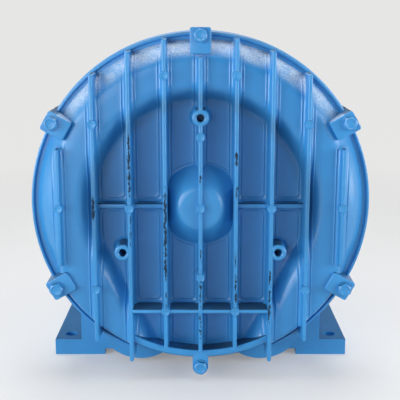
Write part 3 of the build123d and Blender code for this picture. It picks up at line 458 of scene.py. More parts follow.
class Finish(Enum):
    """The finishes that the pieces choose from."""

    # After the two blues: strength of the dust with its painted sheen, then of the grime with its painted
    # shade.
    COVER = Enamel("cover enamel", (0.038, 0.285, 0.65), (0.034, 0.255, 0.585), 1.0, 0.85, True)
    CASTING = Enamel("casting enamel", (0.038, 0.275, 0.63), (0.034, 0.245, 0.565), 0.35, 0.5)
    SHEET = Enamel("cowl enamel", (0.038, 0.275, 0.63), (0.034, 0.255, 0.585), 0.2, roughness=0.3,
                   grain=0.00003)
    STEEL = Metal("zinc plated steel", (0.6, 0.6, 0.58))
    BEARING = Metal("bearing steel", (0.55, 0.56, 0.57), 0.18, 0.000005)
    LAMINATION = Metal("laminated core", (0.3, 0.3, 0.31), 0.5, 0.00003, 1400.0)
    ALUMINIUM = Metal("cast aluminium", (0.62, 0.63, 0.64), 0.45, 0.00006, 300.0)
    COPPER = Metal("varnished copper", (0.55, 0.2, 0.08), 0.35, 0.00015, 260.0, 0.7)
    BRASS = Metal("brass", (0.62, 0.42, 0.16), 0.3)
    RUBBER = Plain("gasket rubber", (0.02, 0.02, 0.021), 0.6)
    FOAM = Plain("muffler foam", (0.05, 0.05, 0.052), 0.9, 0.0006, 380.0)
    PLASTIC = Plain("black plastic", (0.018, 0.018, 0.019), 0.4)
    BAKELITE = Plain("terminal plastic", (0.06, 0.035, 0.025), 0.35)
    FLOOR = StudioFloor("studio floor", (0.64, 0.64, 0.635), (0.3, 0.3, 0.3), (0.22, 0.22, 0.22),
                        (0.79, 0.79, 0.785))


@dataclass(frozen=True)
class Wear:
    """A worn stretch of one rib's front edge.

    It names the rib, counted from the middle one, how far the stretch lies to the side of the rib's
    middle, its middle's height above the shaft, its length and half its width, in millimetres.
    """

    rib: int
    side: float
    height: float
    length: float
    half: float


RIB_WEAR = (
    Wear(-3, -0.4, 1.0, 26.0, 1.0),
    Wear(-2, 0.5, 40.0, 68.0, 0.8),
    Wear(-2, 1.0, -19.0, 32.0, 0.25),
    Wear(-1, 0.3, -25.0, 98.0, 0.85),
    Wear(-1, 0.8, -84.0, 22.0, 0.2),
    Wear(0, -0.2, 29.0, 12.0, 0.3),
    Wear(0, 0.2, -41.0, 8.0, 0.25),
    Wear(0, 0.3, -79.0, 30.0, 0.35),
    Wear(0, -0.2, -110.0, 32.0, 0.2),
    Wear(1, -0.2, 44.0, 16.0, 0.9),
    Wear(1, 0.5, 15.0, 12.0, 0.45),
    Wear(1, -0.2, -46.0, 16.0, 0.35),
    Wear(1, 0.3, -73.0, 32.0, 0.5),
    Wear(2, -0.8, -64.0, 18.0, 0.25),
    Wear(2, -0.6, -88.0, 42.0, 0.5),
)


# ---------------------------------------------------------------- shapes

def smooth_min(first: Array, second: Array | float, reach: float) -> Array:
    """Lower of two fields, rounded where they differ by less than reach.

    Formula: min(a, b) - h * h * reach / 4, where h = max(reach - |a - b|, 0) / reach.
    """
    share = np.maximum(reach - np.abs(first - second), 0.0) / reach
    return np.minimum(first, second) - share * share * reach / 4


def smooth_max(first: Array, second: Array | float, reach: float) -> Array:
    """Higher of two fields, rounded where they differ by less than reach."""
    return -smooth_min(-first, -second, reach)


def smooth_step(values: Array, low: float, high: float) -> Array:
    """Cubic step 3t^2 - 2t^3 from 0 at low to 1 at high."""
    share = np.clip((values - low) / (high - low), 0.0, 1.0)
    return share * share * (3 - 2 * share)


def in_frame(x: Array, depth: Array, height: Array) -> Array:
    """Points in metres from x, depth behind the rib fronts and height above the shaft, in mm."""
    x, depth, height = np.broadcast_arrays(x, depth, height)
    return np.stack([x, depth + FORM.face_y, height + FORM.shaft_z], axis=-1) * MM


def make_object(name: str, points: Array, faces: list, finish: Finish,
                sharp: float = 40.0) -> bpy.types.Object:
    """Make a mesh object, turn its faces outward and shade it smooth up to an angle.

    Args:
        name: The piece's name.
        points: Vertex positions in metres, one row each.
        faces: Vertex indices of each face.
        finish: The finish it gets.
        sharp: Edges that turn by more degrees than this stay sharp.

    Returns:
        The new object, at the origin.
    """
    mesh = bpy.data.meshes.new(name)
    mesh.from_pydata(points.reshape(-1, 3).tolist(), [], faces)
    work = bmesh.new()
    work.from_mesh(mesh)
    bmesh.ops.remove_doubles(work, verts=work.verts, dist=2e-6)
    bmesh.ops.dissolve_degenerate(work, edges=work.edges, dist=1e-6)
    bmesh.ops.recalc_face_normals(work, faces=work.faces)
    work.to_mesh(mesh)
    work.free()
    return finished(name, mesh, finish, sharp)


def finished(name: str, mesh: bpy.types.Mesh, finish: Finish, sharp: float) -> bpy.types.Object:
    """Give a mesh its finish and shading and put it in the scene.

    Args:
        name: The piece's name.
        mesh: Its mesh.
        finish: The finish it gets.
        sharp: Edges that turn by more degrees than this stay sharp.

    Returns:
        The new object, at the origin.
    """
    mesh.materials.append(material_of(finish))
    mesh.shade_smooth()
    mesh.set_sharp_from_angle(angle=math.radians(sharp))
    made = bpy.data.objects.new(name, mesh)
    bpy.context.scene.collection.objects.link(made)
    return made


def grid_faces(rows: int, columns: int, wrap_rows: bool, wrap_columns: bool, start: int = 0) -> Array:
    """Quads of a grid of points, worked out as whole arrays.

    Args:
        rows: Number of points down.
        columns: Number of points across.
        wrap_rows: Join the last row to the first.
        wrap_columns: Join the last column to the first.
        start: Index of the grid's first point.

    Returns:
        An array of four indices for each face.
    """
    row = np.arange(rows if wrap_rows else rows - 1)[:, None]
    column = np.arange(columns if wrap_columns else columns - 1)[None, :]
    below, beside = (row + 1) % rows, (column + 1) % columns
    corners = [row * columns + column, row * columns + beside,
               below * columns + beside, below * columns + column]
    return np.stack(np.broadcast_arrays(*corners), axis=-1).reshape(-1, 4) + start


def full_turn(steps: int) -> Array:
    """Angles of a full turn in equal steps, in radians."""
    return np.arange(steps) * 2 * np.pi / steps


def turned(name: str, profile: Sequence[Span], finish: Finish, steps: int, centre: Span = (0, 0),
           span: Span | None = None) -> bpy.types.Object:
    """A body turned about a line along the shaft.

    Formula: x = r cos a, height = r sin a, for each (depth, r) of the profile and each angle a.

    Args:
        name: The piece's name.
        profile: (depth, radius) points in mm, a closed loop where there is a span.
        finish: The finish it gets.
        steps: Number of angular steps.
        centre: x and height of the line that it turns about.
        span: First and last angle in degrees, or None for a full turn.

    Returns:
        The new object.
    """
    rows = np.asarray(profile, float)
    angles = full_turn(steps) if span is None else np.radians(np.linspace(*span, steps))
    depth, radius = rows[:, :1], rows[:, 1:]
    points = in_frame(centre[0] + radius * np.cos(angles), depth, centre[1] + radius * np.sin(angles))
    faces = grid_faces(len(rows), steps, span is not None, span is None).tolist()
    if span is not None:
        first = np.arange(len(rows)) * steps
        faces += [first.tolist(), (first + steps - 1).tolist()]
    return make_object(name, points, faces, finish, 35.0)


def joined(name: str, pieces: Sequence[bpy.types.Object]) -> bpy.types.Object:
    """Join several objects into one piece.

    Args:
        name: The piece's name.
        pieces: The objects; the first takes in the others.

    Returns:
        The joined piece.
    """
    first = pieces[0]
    work = bmesh.new()
    for piece in pieces:
        work.from_mesh(piece.data)
    work.to_mesh(first.data)
    work.free()
    for piece in pieces[1:]:
        bpy.data.objects.remove(piece)
    first.name = name
    first.data.name = name
    return first


def rounded_edge(radius: float, front: float, back: float) -> tuple[Array, Array]:
    """A quarter round at a body's front edge, and its straight side behind.

    Formula: inset R (1 - sin t) at depth front + R (1 - cos t), for t up to a quarter turn.

    Args:
        radius: Radius of the quarter round, in mm.
        front: Depth of the body's front.
        back: Depth of its back.

    Returns:
        How far in from the full outline each step lies, and how deep.
    """
    turn = np.linspace(0, np.pi / 2, 5)
    inset = np.concatenate([radius * (1 - np.sin(turn)), [0.0]])
    return inset, np.concatenate([front + radius * (1 - np.cos(turn)), [back]])


def rounded_outline(half_x: Array, half_z: Array, corner: Array, step: float) -> tuple[Array, Array]:
    """Outlines of rounded rectangles, one in each row.

    Formula: each corner's centre lies at (half_x, half_z) with the quarter's signs, and its points
    at corner * (cos a, sin a) from there.

    Args:
        half_x: Half the distance between the corners' centres across.
        half_z: Half the distance between them along.
        corner: Radius of the corners.
        step: Angle between two points of a corner, in degrees.

    Returns:
        The points' places across and along.
    """
    arc = np.radians(np.arange(0, 91, step))
    sign_x, sign_z = np.repeat([[1, -1, -1, 1], [1, 1, -1, -1]], len(arc), axis=1)
    bend = (arc + np.arange(4)[:, None] * np.pi / 2).ravel()
    x = sign_x * np.asarray(half_x)[..., None] + corner[:, None] * np.cos(bend)
    z = sign_z * np.asarray(half_z)[..., None] + corner[:, None] * np.sin(bend)
    return x, z


def capped_faces(rows: int, columns: int) -> list:
    """Faces of a stack of closed outlines, with a cap on the first and the last."""
    caps = [list(range(columns)), list(range((rows - 1) * columns, rows * columns))]
    return grid_faces(rows, columns, False, True).tolist() + caps


@dataclass(frozen=True)
class CoverForm:
    """Sizes of the cover in mm, and its outer surface as a depth behind the rib fronts."""

    shaft_z: float = 162.0
    face_y: float = -138.2
    rib_pitch: float = 31.4
    rib_half: float = 1.7
    rib_draft: float = 0.035
    rib_root: float = 28.0
    plate_depth: float = 21.0
    crest_depth: float = 8.5
    plate_r: float = 94.7
    crest_inner_r: float = 105.2
    crest_outer_r: float = 130.0
    slope_root_r: float = 147.0
    slope_root: float = 25.0
    rim_r: float = 153.0
    lip_inner_r: float = 150.5
    lip_depth: float = 22.5
    flange_r: float = 154.5
    flange_front: float = 34.0
    back: float = 39.5
    leg_angle: float = 27.5
    band_inner_r: float = 134.0
    band_outer_r: float = 140.0
    foot_notch_r: float = 146.5
    band_depth: float = 5.2
    cross_height: float = -95.0
    short_depth: float = 12.0
    fillet: float = 3.4
    slope_start: float = 0.35
    bead: float = 0.55
    bead_step: float = 0.3
    bead_half: float = 0.45
    plate_round: float = 0.7
    crest_round: float = 2.0
    dish_round: float = 7.0
    fillet_blend: float = 5.0
    leg_drop: Span = (12.0, 36.0)
    leg_shift: float = 14.0
    leg_slope: float = 2.4

    def plate_distance(self, x: Array, z: Array) -> Array:
        """Distance from the shaft, counted square to the tangent lines between the legs.

        Formula: r above the tangent points, and the larger of the two projections on the lines'
        normals below them, so that one radius names one outline of the plate.

        Args:
            x: Places across, in mm from the shaft.
            z: Heights above the shaft, in mm.

        Returns:
            The distances, in mm.
        """
        angle = math.radians(180 + self.leg_angle)
        left = x * math.cos(angle) + z * math.sin(angle)
        right = -x * math.cos(angle) + z * math.sin(angle)
        along = np.maximum(left, right)
        radius = np.hypot(x, z)
        below = z < -np.abs(x) * math.tan(math.radians(self.leg_angle))
        return np.where(below, np.maximum(along, 0.0), radius)

    def dish(self, x: Array, z: Array) -> Array:
        """Depth of the plate, the channel's bulge and its slopes.

        Formula: the plate's depth cut off by a straight slope up to the crest, and the crest cut
        off by the outer slope, each rounded by a smooth minimum or maximum. The outer slope is a
        parabola from its own start to the root, and it moves out and steepens over the legs.

        Args:
            x: Places across, in mm from the shaft.
            z: Heights above the shaft, in mm.

        Returns:
            The depths behind the rib fronts, in mm.
        """
        radius = np.hypot(x, z)
        near = self.plate_distance(x, z)
        rise = (self.plate_depth - self.crest_depth) / (self.crest_inner_r - self.plate_r)
        inner = self.plate_depth - (near - self.plate_r) * rise
        inner = smooth_min(inner, self.plate_depth, self.plate_round)
        drop = np.degrees(np.arcsin(np.clip(-z / np.maximum(radius, 1.0), -1, 1)))
        legs = smooth_step(drop, *self.leg_drop)
        start = self.crest_outer_r + legs * self.leg_shift
        run = radius - start
        width = self.slope_root_r - self.crest_outer_r
        bend = (self.slope_root - self.crest_depth - self.slope_start * width) / width ** 2
        slope = self.slope_start + legs * self.leg_slope
        outer = self.crest_depth + run * slope + bend * np.maximum(run, 0.0) ** 2
        outer = np.minimum(outer, self.slope_root + 6.0)
        crest = smooth_max(outer, self.crest_depth, self.crest_round)
        return smooth_max(inner, crest, self.dish_round)

    def fillets(self, x: Array, z: Array) -> Array:
        """Height of the rounded roots round the ribs.

        Formula: R - sqrt(R^2 - (R - s)^2), where s is the plan distance to the nearest rib,
        rounded between two ribs by a smooth minimum, plus a low bell-shaped bead where it ends.

        Args:
            x: Places across, in mm from the shaft.
            z: Heights above the shaft, in mm.

        Returns:
            The heights in front of the dish, in mm.
        """
        distance = np.full_like(x, 1e3)
        for rib in UPRIGHTS + LEVELS:
            distance = smooth_min(distance, rib.distance(x, z), self.fillet_blend)
        reach = np.clip(self.fillet - distance, 0.0, self.fillet)
        bead = self.bead * np.exp(-((distance - self.fillet - self.bead_step) / self.bead_half) ** 2)
        return self.fillet - np.sqrt(np.maximum(self.fillet ** 2 - reach ** 2, 0.0)) + bead


# How much wider a rib is at its root on either side, in mm.
ROOT_SPREAD = 0.5


@dataclass(frozen=True)
class Rib:
    """One rib in plan: its centre across, its two ends, its front depth, its lie and half its width."""

    centre: float
    low: float
    high: float
    front: float = 0.0
    level: bool = False
    half: float = 1.7

    def distance(self, x: Array, z: Array) -> Array:
        """Plan distance outside the rib's rectangle at its root.

        Args:
            x: Places across, in mm from the shaft.
            z: Heights above the shaft, in mm.

        Returns:
            The distances, 0 inside the rib.
        """
        across, along = (z, x) if self.level else (x, z)
        side = np.abs(across - self.centre) - self.half - ROOT_SPREAD
        end = np.abs(along - (self.low + self.high) / 2) - (self.high - self.low) / 2
        return np.hypot(np.maximum(side, 0.0), np.maximum(end, 0.0))


FORM = CoverForm()
PITCH = FORM.rib_pitch
UPRIGHTS = tuple(
    Rib(side * step * PITCH, low, high)
    for step, low, high in ((1, -130.5, 147.5), (2, -143.0, 137.0), (3, -123.5, 117.5), (4, -52.5, 52.5))
    for side in (-1, 1)
) + (Rib(0.0, -134.0, 75.0), Rib(0.0, 85.0, 132.0))
LEVELS = (
    Rib(FORM.cross_height, -2 * PITCH, 2 * PITCH, 0.3, True),
    Rib(0.0, -3 * PITCH, -PITCH, FORM.short_depth, True, 2.0),
    Rib(0.0, PITCH, 3 * PITCH, FORM.short_depth, True, 2.0),
)


# ---------------------------------------------------------------- the cover

@dataclass
class Cover:
    """The front cover, built from its surface, ribs, rim, lugs, bosses, discs and dome."""

    form: CoverForm = FORM
    finish: Finish = Finish.COVER
    slab_step: float = 2.0
    grid_half: float = 150.0
    grid_steps: Span = (2.5, 2.0)
    bead_lines: tuple[float, ...] = (0.3, 0.6, 0.95, 1.4)
    rib_edge: float = 1.0
    rib_end_round: float = 1.65
    lug_inner_r: float = 134.3
    lug_outer_r: float = 157.0
    lug_half: float = 9.2
    lug_corner: float = 2.2
    lug_edge: float = 0.9
    foot_outer_r: float = 157.3
    foot_half: float = 7.3
    foot_overlap: float = 2.5
    boss_pitch_r: float = 80.0
    boss_r: float = 7.4
    hole_r: float = 3.4
    hole_depth: float = 18.0
    disc_pitch_r: float = 63.2
    dome_front: float = 4.5
    dome_flat_r: float = 10.0
    dome_face_r: float = 15.5
    dome_round: float = 8.0
    dome_tilt: float = 42.0
    dome_r: float = 38.4
    dome_foot_round: float = 4.0

    def build(self) -> list[bpy.types.Object]:
        """Make the cover's pieces, which together stand for the CAD cover."""
        return [self.face(), self.ribs(), self.rim(), self.band(), self.lugs(), self.bosses(), self.discs(),
                self.dome()]

    def _lines(self, centres: Sequence[float], step: float) -> Array:
        """Grid lines: close together by each centre's root fillet and a step apart elsewhere.

        Args:
            centres: Where the ribs' middles lie, in mm.
            step: Distance between the lines away from the ribs.

        Returns:
            The lines' places in order.
        """
        low, high = -self.grid_half, self.grid_half
        bend = self.form.fillet * (1 - np.cos(np.linspace(0, np.pi / 2, 8)))
        bend = np.concatenate([bend, bend[-1] + np.array(self.bead_lines)])
        offsets = self.form.rib_half + ROOT_SPREAD + bend
        lines = [np.arange(low, high + step / 2, step)]
        for centre in centres:
            lines += [centre + offsets, centre - offsets]
        merged = np.unique(np.concatenate(lines).round(4))
        near = np.min(np.abs(merged[:, None] - np.asarray(centres)[None, :]), axis=1)
        close = (near >= offsets[0] - 0.01) & (near <= offsets[-1] + step * 0.4)
        plain = np.abs((merged - low) / step % 1) < 1e-6
        return merged[~(close & plain)]

    def face(self) -> bpy.types.Object:
        """The dished outer surface as a height field with a flat back.

        Formula: y = depth of the dish - height of the root fillets, on a grid of x and height;
        points outside the rim are pulled in along their radius onto it.

        Returns:
            The face.
        """
        form = self.form
        x_lines = self._lines([rib.centre for rib in UPRIGHTS], self.grid_steps[0])
        z_lines = self._lines([form.cross_height, 0.0], self.grid_steps[1])
        x, z = np.meshgrid(x_lines, z_lines)
        middle = (np.abs(x) < 2 * PITCH - 0.5) & (z < 0)
        limit = np.where(middle, form.band_inner_r + 0.6, form.slope_root_r + 1.2)
        radius = np.hypot(x, z)
        outside = radius > limit
        pull = np.minimum(1.0, limit / np.maximum(radius, 1.0))
        x, z = x * pull, z * pull
        depth = form.dish(x, z) - form.fillets(x, z)
        faces = grid_faces(*x.shape, False, False)
        keep = ~outside.ravel()[faces].all(axis=1)
        return self._slab("cover_face", in_frame(x, depth, z), faces[keep])

    def _slab(self, name: str, points: Array, faces: Array) -> bpy.types.Object:
        """Close an open surface with side walls and one flat back face.

        Formula: the open edge is carried straight back onto the plane y = back.

        Args:
            name: The piece's name.
            points: Vertex positions in metres.
            faces: Vertex indices of each face.

        Returns:
            The closed piece.
        """
        used, corners = np.unique(faces, return_inverse=True)
        mesh = bpy.data.meshes.new(name)
        mesh.from_pydata(points.reshape(-1, 3)[used].tolist(), [], corners.reshape(faces.shape).tolist())
        work = bmesh.new()
        work.from_mesh(mesh)
        bmesh.ops.remove_doubles(work, verts=work.verts, dist=2e-6)
        bmesh.ops.dissolve_degenerate(work, edges=work.edges, dist=2e-6)
        rim = [edge for edge in work.edges if edge.is_boundary]
        walls = bmesh.ops.extrude_edge_only(work, edges=rim)["geom"]
        ends = [item for item in walls if isinstance(item, bmesh.types.BMVert)]
        back = (self.form.rib_root + self.slab_step + self.form.face_y) * MM
        bmesh.ops.scale(work, vec=(1, 0, 1), space=Matrix.Translation((0, -back, 0)), verts=ends)
        loop = [item for item in walls if isinstance(item, bmesh.types.BMEdge) and item.is_boundary]
        bmesh.ops.contextual_create(work, geom=loop)
        bmesh.ops.recalc_face_normals(work, faces=work.faces)
        work.to_mesh(mesh)
        work.free()
        return finished(name, mesh, self.finish, 50.0)

    def ribs(self) -> bpy.types.Object:
        """All upright and level ribs, joined."""
        return joined("cover_ribs", [self._bar(rib) for rib in UPRIGHTS + LEVELS])

    def _bar(self, rib: Rib) -> bpy.types.Object:
        """One cast rib: a bar with drafted sides and rounded front edges and ends.

        Formula: the half width grows by the draft per mm of depth, and the outline at each depth
        is a rectangle with rounded corners.

        Args:
            rib: Where it lies.

        Returns:
            The bar.
        """
        inset, level = rounded_edge(self.rib_edge, rib.front, self.form.rib_root)
        draft = self.form.rib_draft * (level - rib.front)
        wide = rib.half - inset + draft
        length = (rib.high - rib.low) / 2 - inset + draft
        corner = np.minimum(wide * 0.95, self.rib_end_round)
        x, z = rounded_outline(wide - corner, length - corner, corner, 22.5)
        x, z = x + rib.centre, z + (rib.low + rib.high) / 2
        points = in_frame(z, level[:, None], x) if rib.level else in_frame(x, level[:, None], z)
        return make_object("rib", points, capped_faces(*x.shape), self.finish, 50.0)

    def rim(self) -> bpy.types.Object:
        """The rim from one foot rib round the top to the other.

        Returns:
            The groove, the lip, the outer wall and the flange as one turned piece.
        """
        form = self.form
        end = math.degrees(math.acos(2 * PITCH / form.rim_r))
        lip = form.lip_depth
        profile = [
            (form.slope_root, form.slope_root_r - 2), (form.slope_root, form.lip_inner_r - 0.8),
            (form.slope_root - 0.8, form.lip_inner_r), (lip + 0.5, form.lip_inner_r),
            (lip + 0.1, form.lip_inner_r + 0.4), (lip, form.lip_inner_r + 0.9), (lip, form.rim_r - 0.9),
            (lip + 0.3, form.rim_r - 0.3), (lip + 0.9, form.rim_r), (form.flange_front - 1, form.rim_r),
            (form.flange_front, form.rim_r + 0.6), (form.flange_front + 0.4, form.flange_r - 0.3),
            (form.flange_front + 0.9, form.flange_r), (form.back, form.flange_r),
            (form.back, form.slope_root_r - 2),
        ]
        return turned("cover_rim", profile, self.finish, 260, span=(-end, 180 + end))

    def band(self) -> bpy.types.Object:
        """The flat-faced band between the two foot ribs.

        Returns:
            The band, stepped out to the flange behind, as one turned piece.
        """
        form = self.form
        end = math.degrees(math.asin(2 * PITCH / form.band_outer_r))
        front = form.band_depth
        profile = [
            (front, form.band_inner_r + 0.6), (front, form.band_outer_r - 0.8),
            (front + 0.3, form.band_outer_r - 0.2), (front + 0.9, form.band_outer_r),
            (form.plate_depth, form.band_outer_r), (form.plate_depth + 1, form.foot_notch_r),
            (form.back, form.foot_notch_r), (form.back, form.band_inner_r), (front + 0.6, form.band_inner_r),
        ]
        return turned("cover_band", profile, self.finish, 64, span=(270 - end, 270 + end))

    def lugs(self) -> bpy.types.Object:
        """Five square lugs with softened edges, and the round-ended one at the bottom.

        Returns:
            The six lugs, joined.
        """
        made = [self._lug(angle, self.lug_inner_r, self.lug_outer_r, self.lug_half, self.lug_corner)
                for angle in (90, 30, 150, -30, 210)]
        made.append(self._lug(270, self.form.band_inner_r + self.foot_overlap, self.foot_outer_r,
                              self.foot_half, self.foot_half - 0.1))
        return joined("cover_lugs", made)

    def _lug(self, angle: float, inner_r: float, outer_r: float, half: float,
             corner: float) -> bpy.types.Object:
        """One lug: an outline with rounded corners, carried back with a rounded front edge.

        Args:
            angle: Its bearing from the shaft, in degrees.
            inner_r: Distance of its inner end from the shaft.
            outer_r: Distance of its outer end from the shaft.
            half: Half its width.
            corner: Radius of its corners.

        Returns:
            The lug.
        """
        form = self.form
        inset, level = rounded_edge(self.lug_edge, form.band_depth - 0.05, form.back)
        along, side = rounded_outline((outer_r - inner_r) / 2 - corner, half - corner, corner - inset, 15)
        u = along + (inner_r + outer_r) / 2
        cos, sin = math.cos(math.radians(angle)), math.sin(math.radians(angle))
        points = in_frame(u * cos - side * sin, level[:, None], u * sin + side * cos)
        return make_object("lug", points, capped_faces(*u.shape), self.finish, 50.0)

    def bosses(self) -> bpy.types.Object:
        """Three tapped bosses with a rounded ring in front and a flared foot.

        Returns:
            The bosses, joined.
        """
        plate, hole, outer = self.form.plate_depth, self.hole_r, self.boss_r
        profile = [
            (self.hole_depth, 0.0), (self.hole_depth, hole), (1.4, hole), (0.7, hole + 0.15),
            (0.2, hole + 0.7), (0.0, hole + 1.4), (0.1, outer - 1.2), (0.6, outer - 0.4), (1.4, outer),
            (plate - 3.0, outer + 0.5), (plate - 1.6, outer + 0.9), (plate - 0.6, outer + 1.8),
            (plate, outer + 3.2), (plate + 2, outer + 3.2), (plate + 2, 0.0),
        ]
        made = []
        for angle in (90, 210, 330):
            across, up = math.cos(math.radians(angle)), math.sin(math.radians(angle))
            centre = (self.boss_pitch_r * across, self.boss_pitch_r * up)
            made.append(turned("boss", profile, self.finish, 40, centre))
        return joined("cover_bosses", made)

    def discs(self) -> bpy.types.Object:
        """Moulded ejector discs with a raised ring, slightly proud of the ribs.

        Returns:
            The discs, joined.
        """
        spots = [(0.0, 0.0), (0.0, self.disc_pitch_r), (0.0, -self.disc_pitch_r)]
        for side in (-PITCH, PITCH):
            spots += [(side, 116.2), (side, self.form.cross_height), (side * 2, 0.0), (side * 3, 74.5),
                      (side * 3, -74.5), (side * 4, 0.0)]
        profile = [(-0.45, 0.0), (-0.45, 2.5), (-0.6, 2.8), (-0.78, 3.2), (-0.74, 3.6), (-0.4, 3.9),
                   (0.2, 4.0), (6.0, 4.1), (21.5, 4.5), (21.5, 0.0)]
        return joined("cover_discs", [turned("disc", profile, self.finish, 28, spot) for spot in spots])

    def dome(self) -> bpy.types.Object:
        """The hub dome: a flat crown with a big shoulder and a flared foot, between two ribs.

        Formula: an arc from the crown's edge to a cone's tilt, the cone, and an arc of the same
        turn out to the plate; x is limited to the two ribs that cut the dome off.

        Returns:
            The dome.
        """
        plate, front, foot_r = self.form.plate_depth, self.dome_front, self.dome_r
        tilt = math.radians(self.dome_tilt)
        turn = np.linspace(0, tilt, 10)
        shoulder = np.stack([front + self.dome_round * (1 - np.cos(turn)),
                             self.dome_face_r + self.dome_round * np.sin(turn)], axis=1)
        foot = np.stack([plate - self.dome_foot_round * (1 - np.cos(tilt - turn)),
                         foot_r - self.dome_foot_round * np.sin(tilt - turn)], axis=1)
        rows = np.concatenate([
            [(front - 0.05, 0.0), (front, self.dome_flat_r)], shoulder, foot,
            [(plate - 0.35, foot_r + 0.5), (plate + 0.1, foot_r + 1), (plate + 3, foot_r + 1),
             (plate + 3, 0.0)],
        ])
        angles = full_turn(128)
        x = np.clip(rows[:, 1:] * np.cos(angles), -PITCH, PITCH)
        points = in_frame(x, rows[:, :1], rows[:, 1:] * np.sin(angles))
        faces = grid_faces(len(rows), len(angles), False, True).tolist()
        return make_object("cover_dome", points, faces, self.finish, 60.0)


@dataclass
class CoverBolts:
    """Hex cap screws round the cover, painted over with it."""

    flats: float = 11.1
    height: float = 4.0
    seat: float = 4.0
    circle_r: float = 150.0
    ring_r: float = 4.55
    sink: float = 0.45
    chamfer: float = 0.8
    count: int = 6

    def build(self) -> bpy.types.Object:
        """Make the six screws, each turned a little otherwise.

        Formula: the head's rim is (flats / 2) / cos(a - nearest sixth of a turn); a raised ring
        bounds the sunk crown, and the chamfer falls from the ring to the hexagon.

        Returns:
            The screws' heads, joined.
        """
        angles = full_turn(72)
        sector = np.mod(angles + np.pi / 6, np.pi / 3) - np.pi / 6
        hexagon = (self.flats / 2) / np.cos(sector)
        front, ring_r, sink = self.seat - self.height, self.ring_r, self.sink
        ring = ((0.0, sink), (ring_r - 0.95, sink), (ring_r - 0.75, sink - 0.1), (ring_r - 0.55, 0.08),
                (ring_r - 0.4, 0.0), (ring_r, 0.0), (ring_r + 0.2, 0.1))
        radius = np.stack([np.full_like(angles, r) for r, _ in ring] + [hexagon, hexagon, 0 * angles])
        slope = front + 0.1 + (hexagon - ring_r - 0.2) * self.chamfer
        under = np.full_like(angles, self.seat)
        level = np.stack([np.full_like(angles, front + drop) for _, drop in ring] + [slope, under, under])
        faces = grid_faces(len(radius), len(angles), False, True).tolist()
        heads = []
        for step in range(self.count):
            bearing = np.pi / 2 + step * 2 * np.pi / self.count
            turn = angles + 0.35 * math.sin(2.3 * step + 0.4)
            points = in_frame(self.circle_r * math.cos(bearing) + radius * np.cos(turn), level,
                              self.circle_r * math.sin(bearing) + radius * np.sin(turn))
            heads.append(make_object("head", points, faces, Finish.COVER, 30.0))
        return joined("cover_bolt_heads", heads)


# ---------------------------------------------------------------- the rest of the machine

class CadDress:
    """Finishes for the CAD nodes that are shown as they are."""

    groups: dict[Finish, tuple[str, ...]] = {
        Finish.CASTING: ("blower_housing", "inlet_port_flange", "outlet_port_flange", "rear_end_bell",
                         "motor_frame"),
        Finish.SHEET: ("fan_cowl", "fan_cowl_screws", "terminal_box", "terminal_lid"),
        Finish.COVER: ("cover_washers",),
        Finish.RUBBER: ("cover_gasket", "port_gaskets", "terminal_lid_gasket", "shaft_seal"),
        Finish.FOAM: ("inlet_muffler_foam", "outlet_muffler_foam"),
        Finish.STEEL: ("inlet_muffler_screen", "outlet_muffler_screen", "motor_tie_bolts", "port_screws",
                       "terminal_lid_screws", "impeller_bolt", "impeller_washer", "impeller_key",
                       "impeller_spacer", "bearing_retainer", "fan_retainer", "wave_spring"),
        Finish.LAMINATION: ("stator_core", "rotor_core"),
        Finish.COPPER: ("stator_windings",),
        Finish.ALUMINIUM: ("impeller", "rotor_end_rings"),
        Finish.PLASTIC: ("cooling_fan",),
        Finish.BAKELITE: ("terminal_block",),
        Finish.BRASS: ("terminal_studs",),
    }

    def dress(self) -> None:
        """Give each node its finish; bearings and the shaft share one."""
        chosen = {node: finish for finish, nodes in self.groups.items() for node in nodes}
        for name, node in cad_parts.items():
            finish = chosen.get(name, Finish.BEARING)
            node.data.materials.clear()
            node.data.materials.append(material_of(finish))
            LOG.info("node %s: %s", name, finish.name)


# ---------------------------------------------------------------- studio

@dataclass(frozen=True)
class Lamp:
    """A square soft lamp: its place, width and aim in metres and its power in watts."""

    name: str
    place: tuple[float, float, float]
    width: float
    power: float
    aim: tuple[float, float, float] = (0.0, -0.1, 0.16)


LAMPS = (
    Lamp("left low", (-1.2, -0.9, 0.35), 0.8, 15.0),
    Lamp("right low", (1.2, -0.9, 0.35), 0.8, 11.0),
    Lamp("front left", (-0.6, -1.4, 0.35), 0.8, 5.6),
    Lamp("left side", (-1.3, -0.35, 0.3), 0.6, 1.7),
    Lamp("right side", (1.3, -0.35, 0.3), 0.6, 6.0),
    Lamp("top", (0.0, 0.1, 1.4), 0.9, 12.0),
    Lamp("rear left", (-1.3, 1.0, 0.6), 0.8, 5.0, (0.0, 0.1, 0.16)),
    Lamp("rear right", (1.3, 1.0, 0.6), 0.8, 5.0, (0.0, 0.1, 0.16)),
)


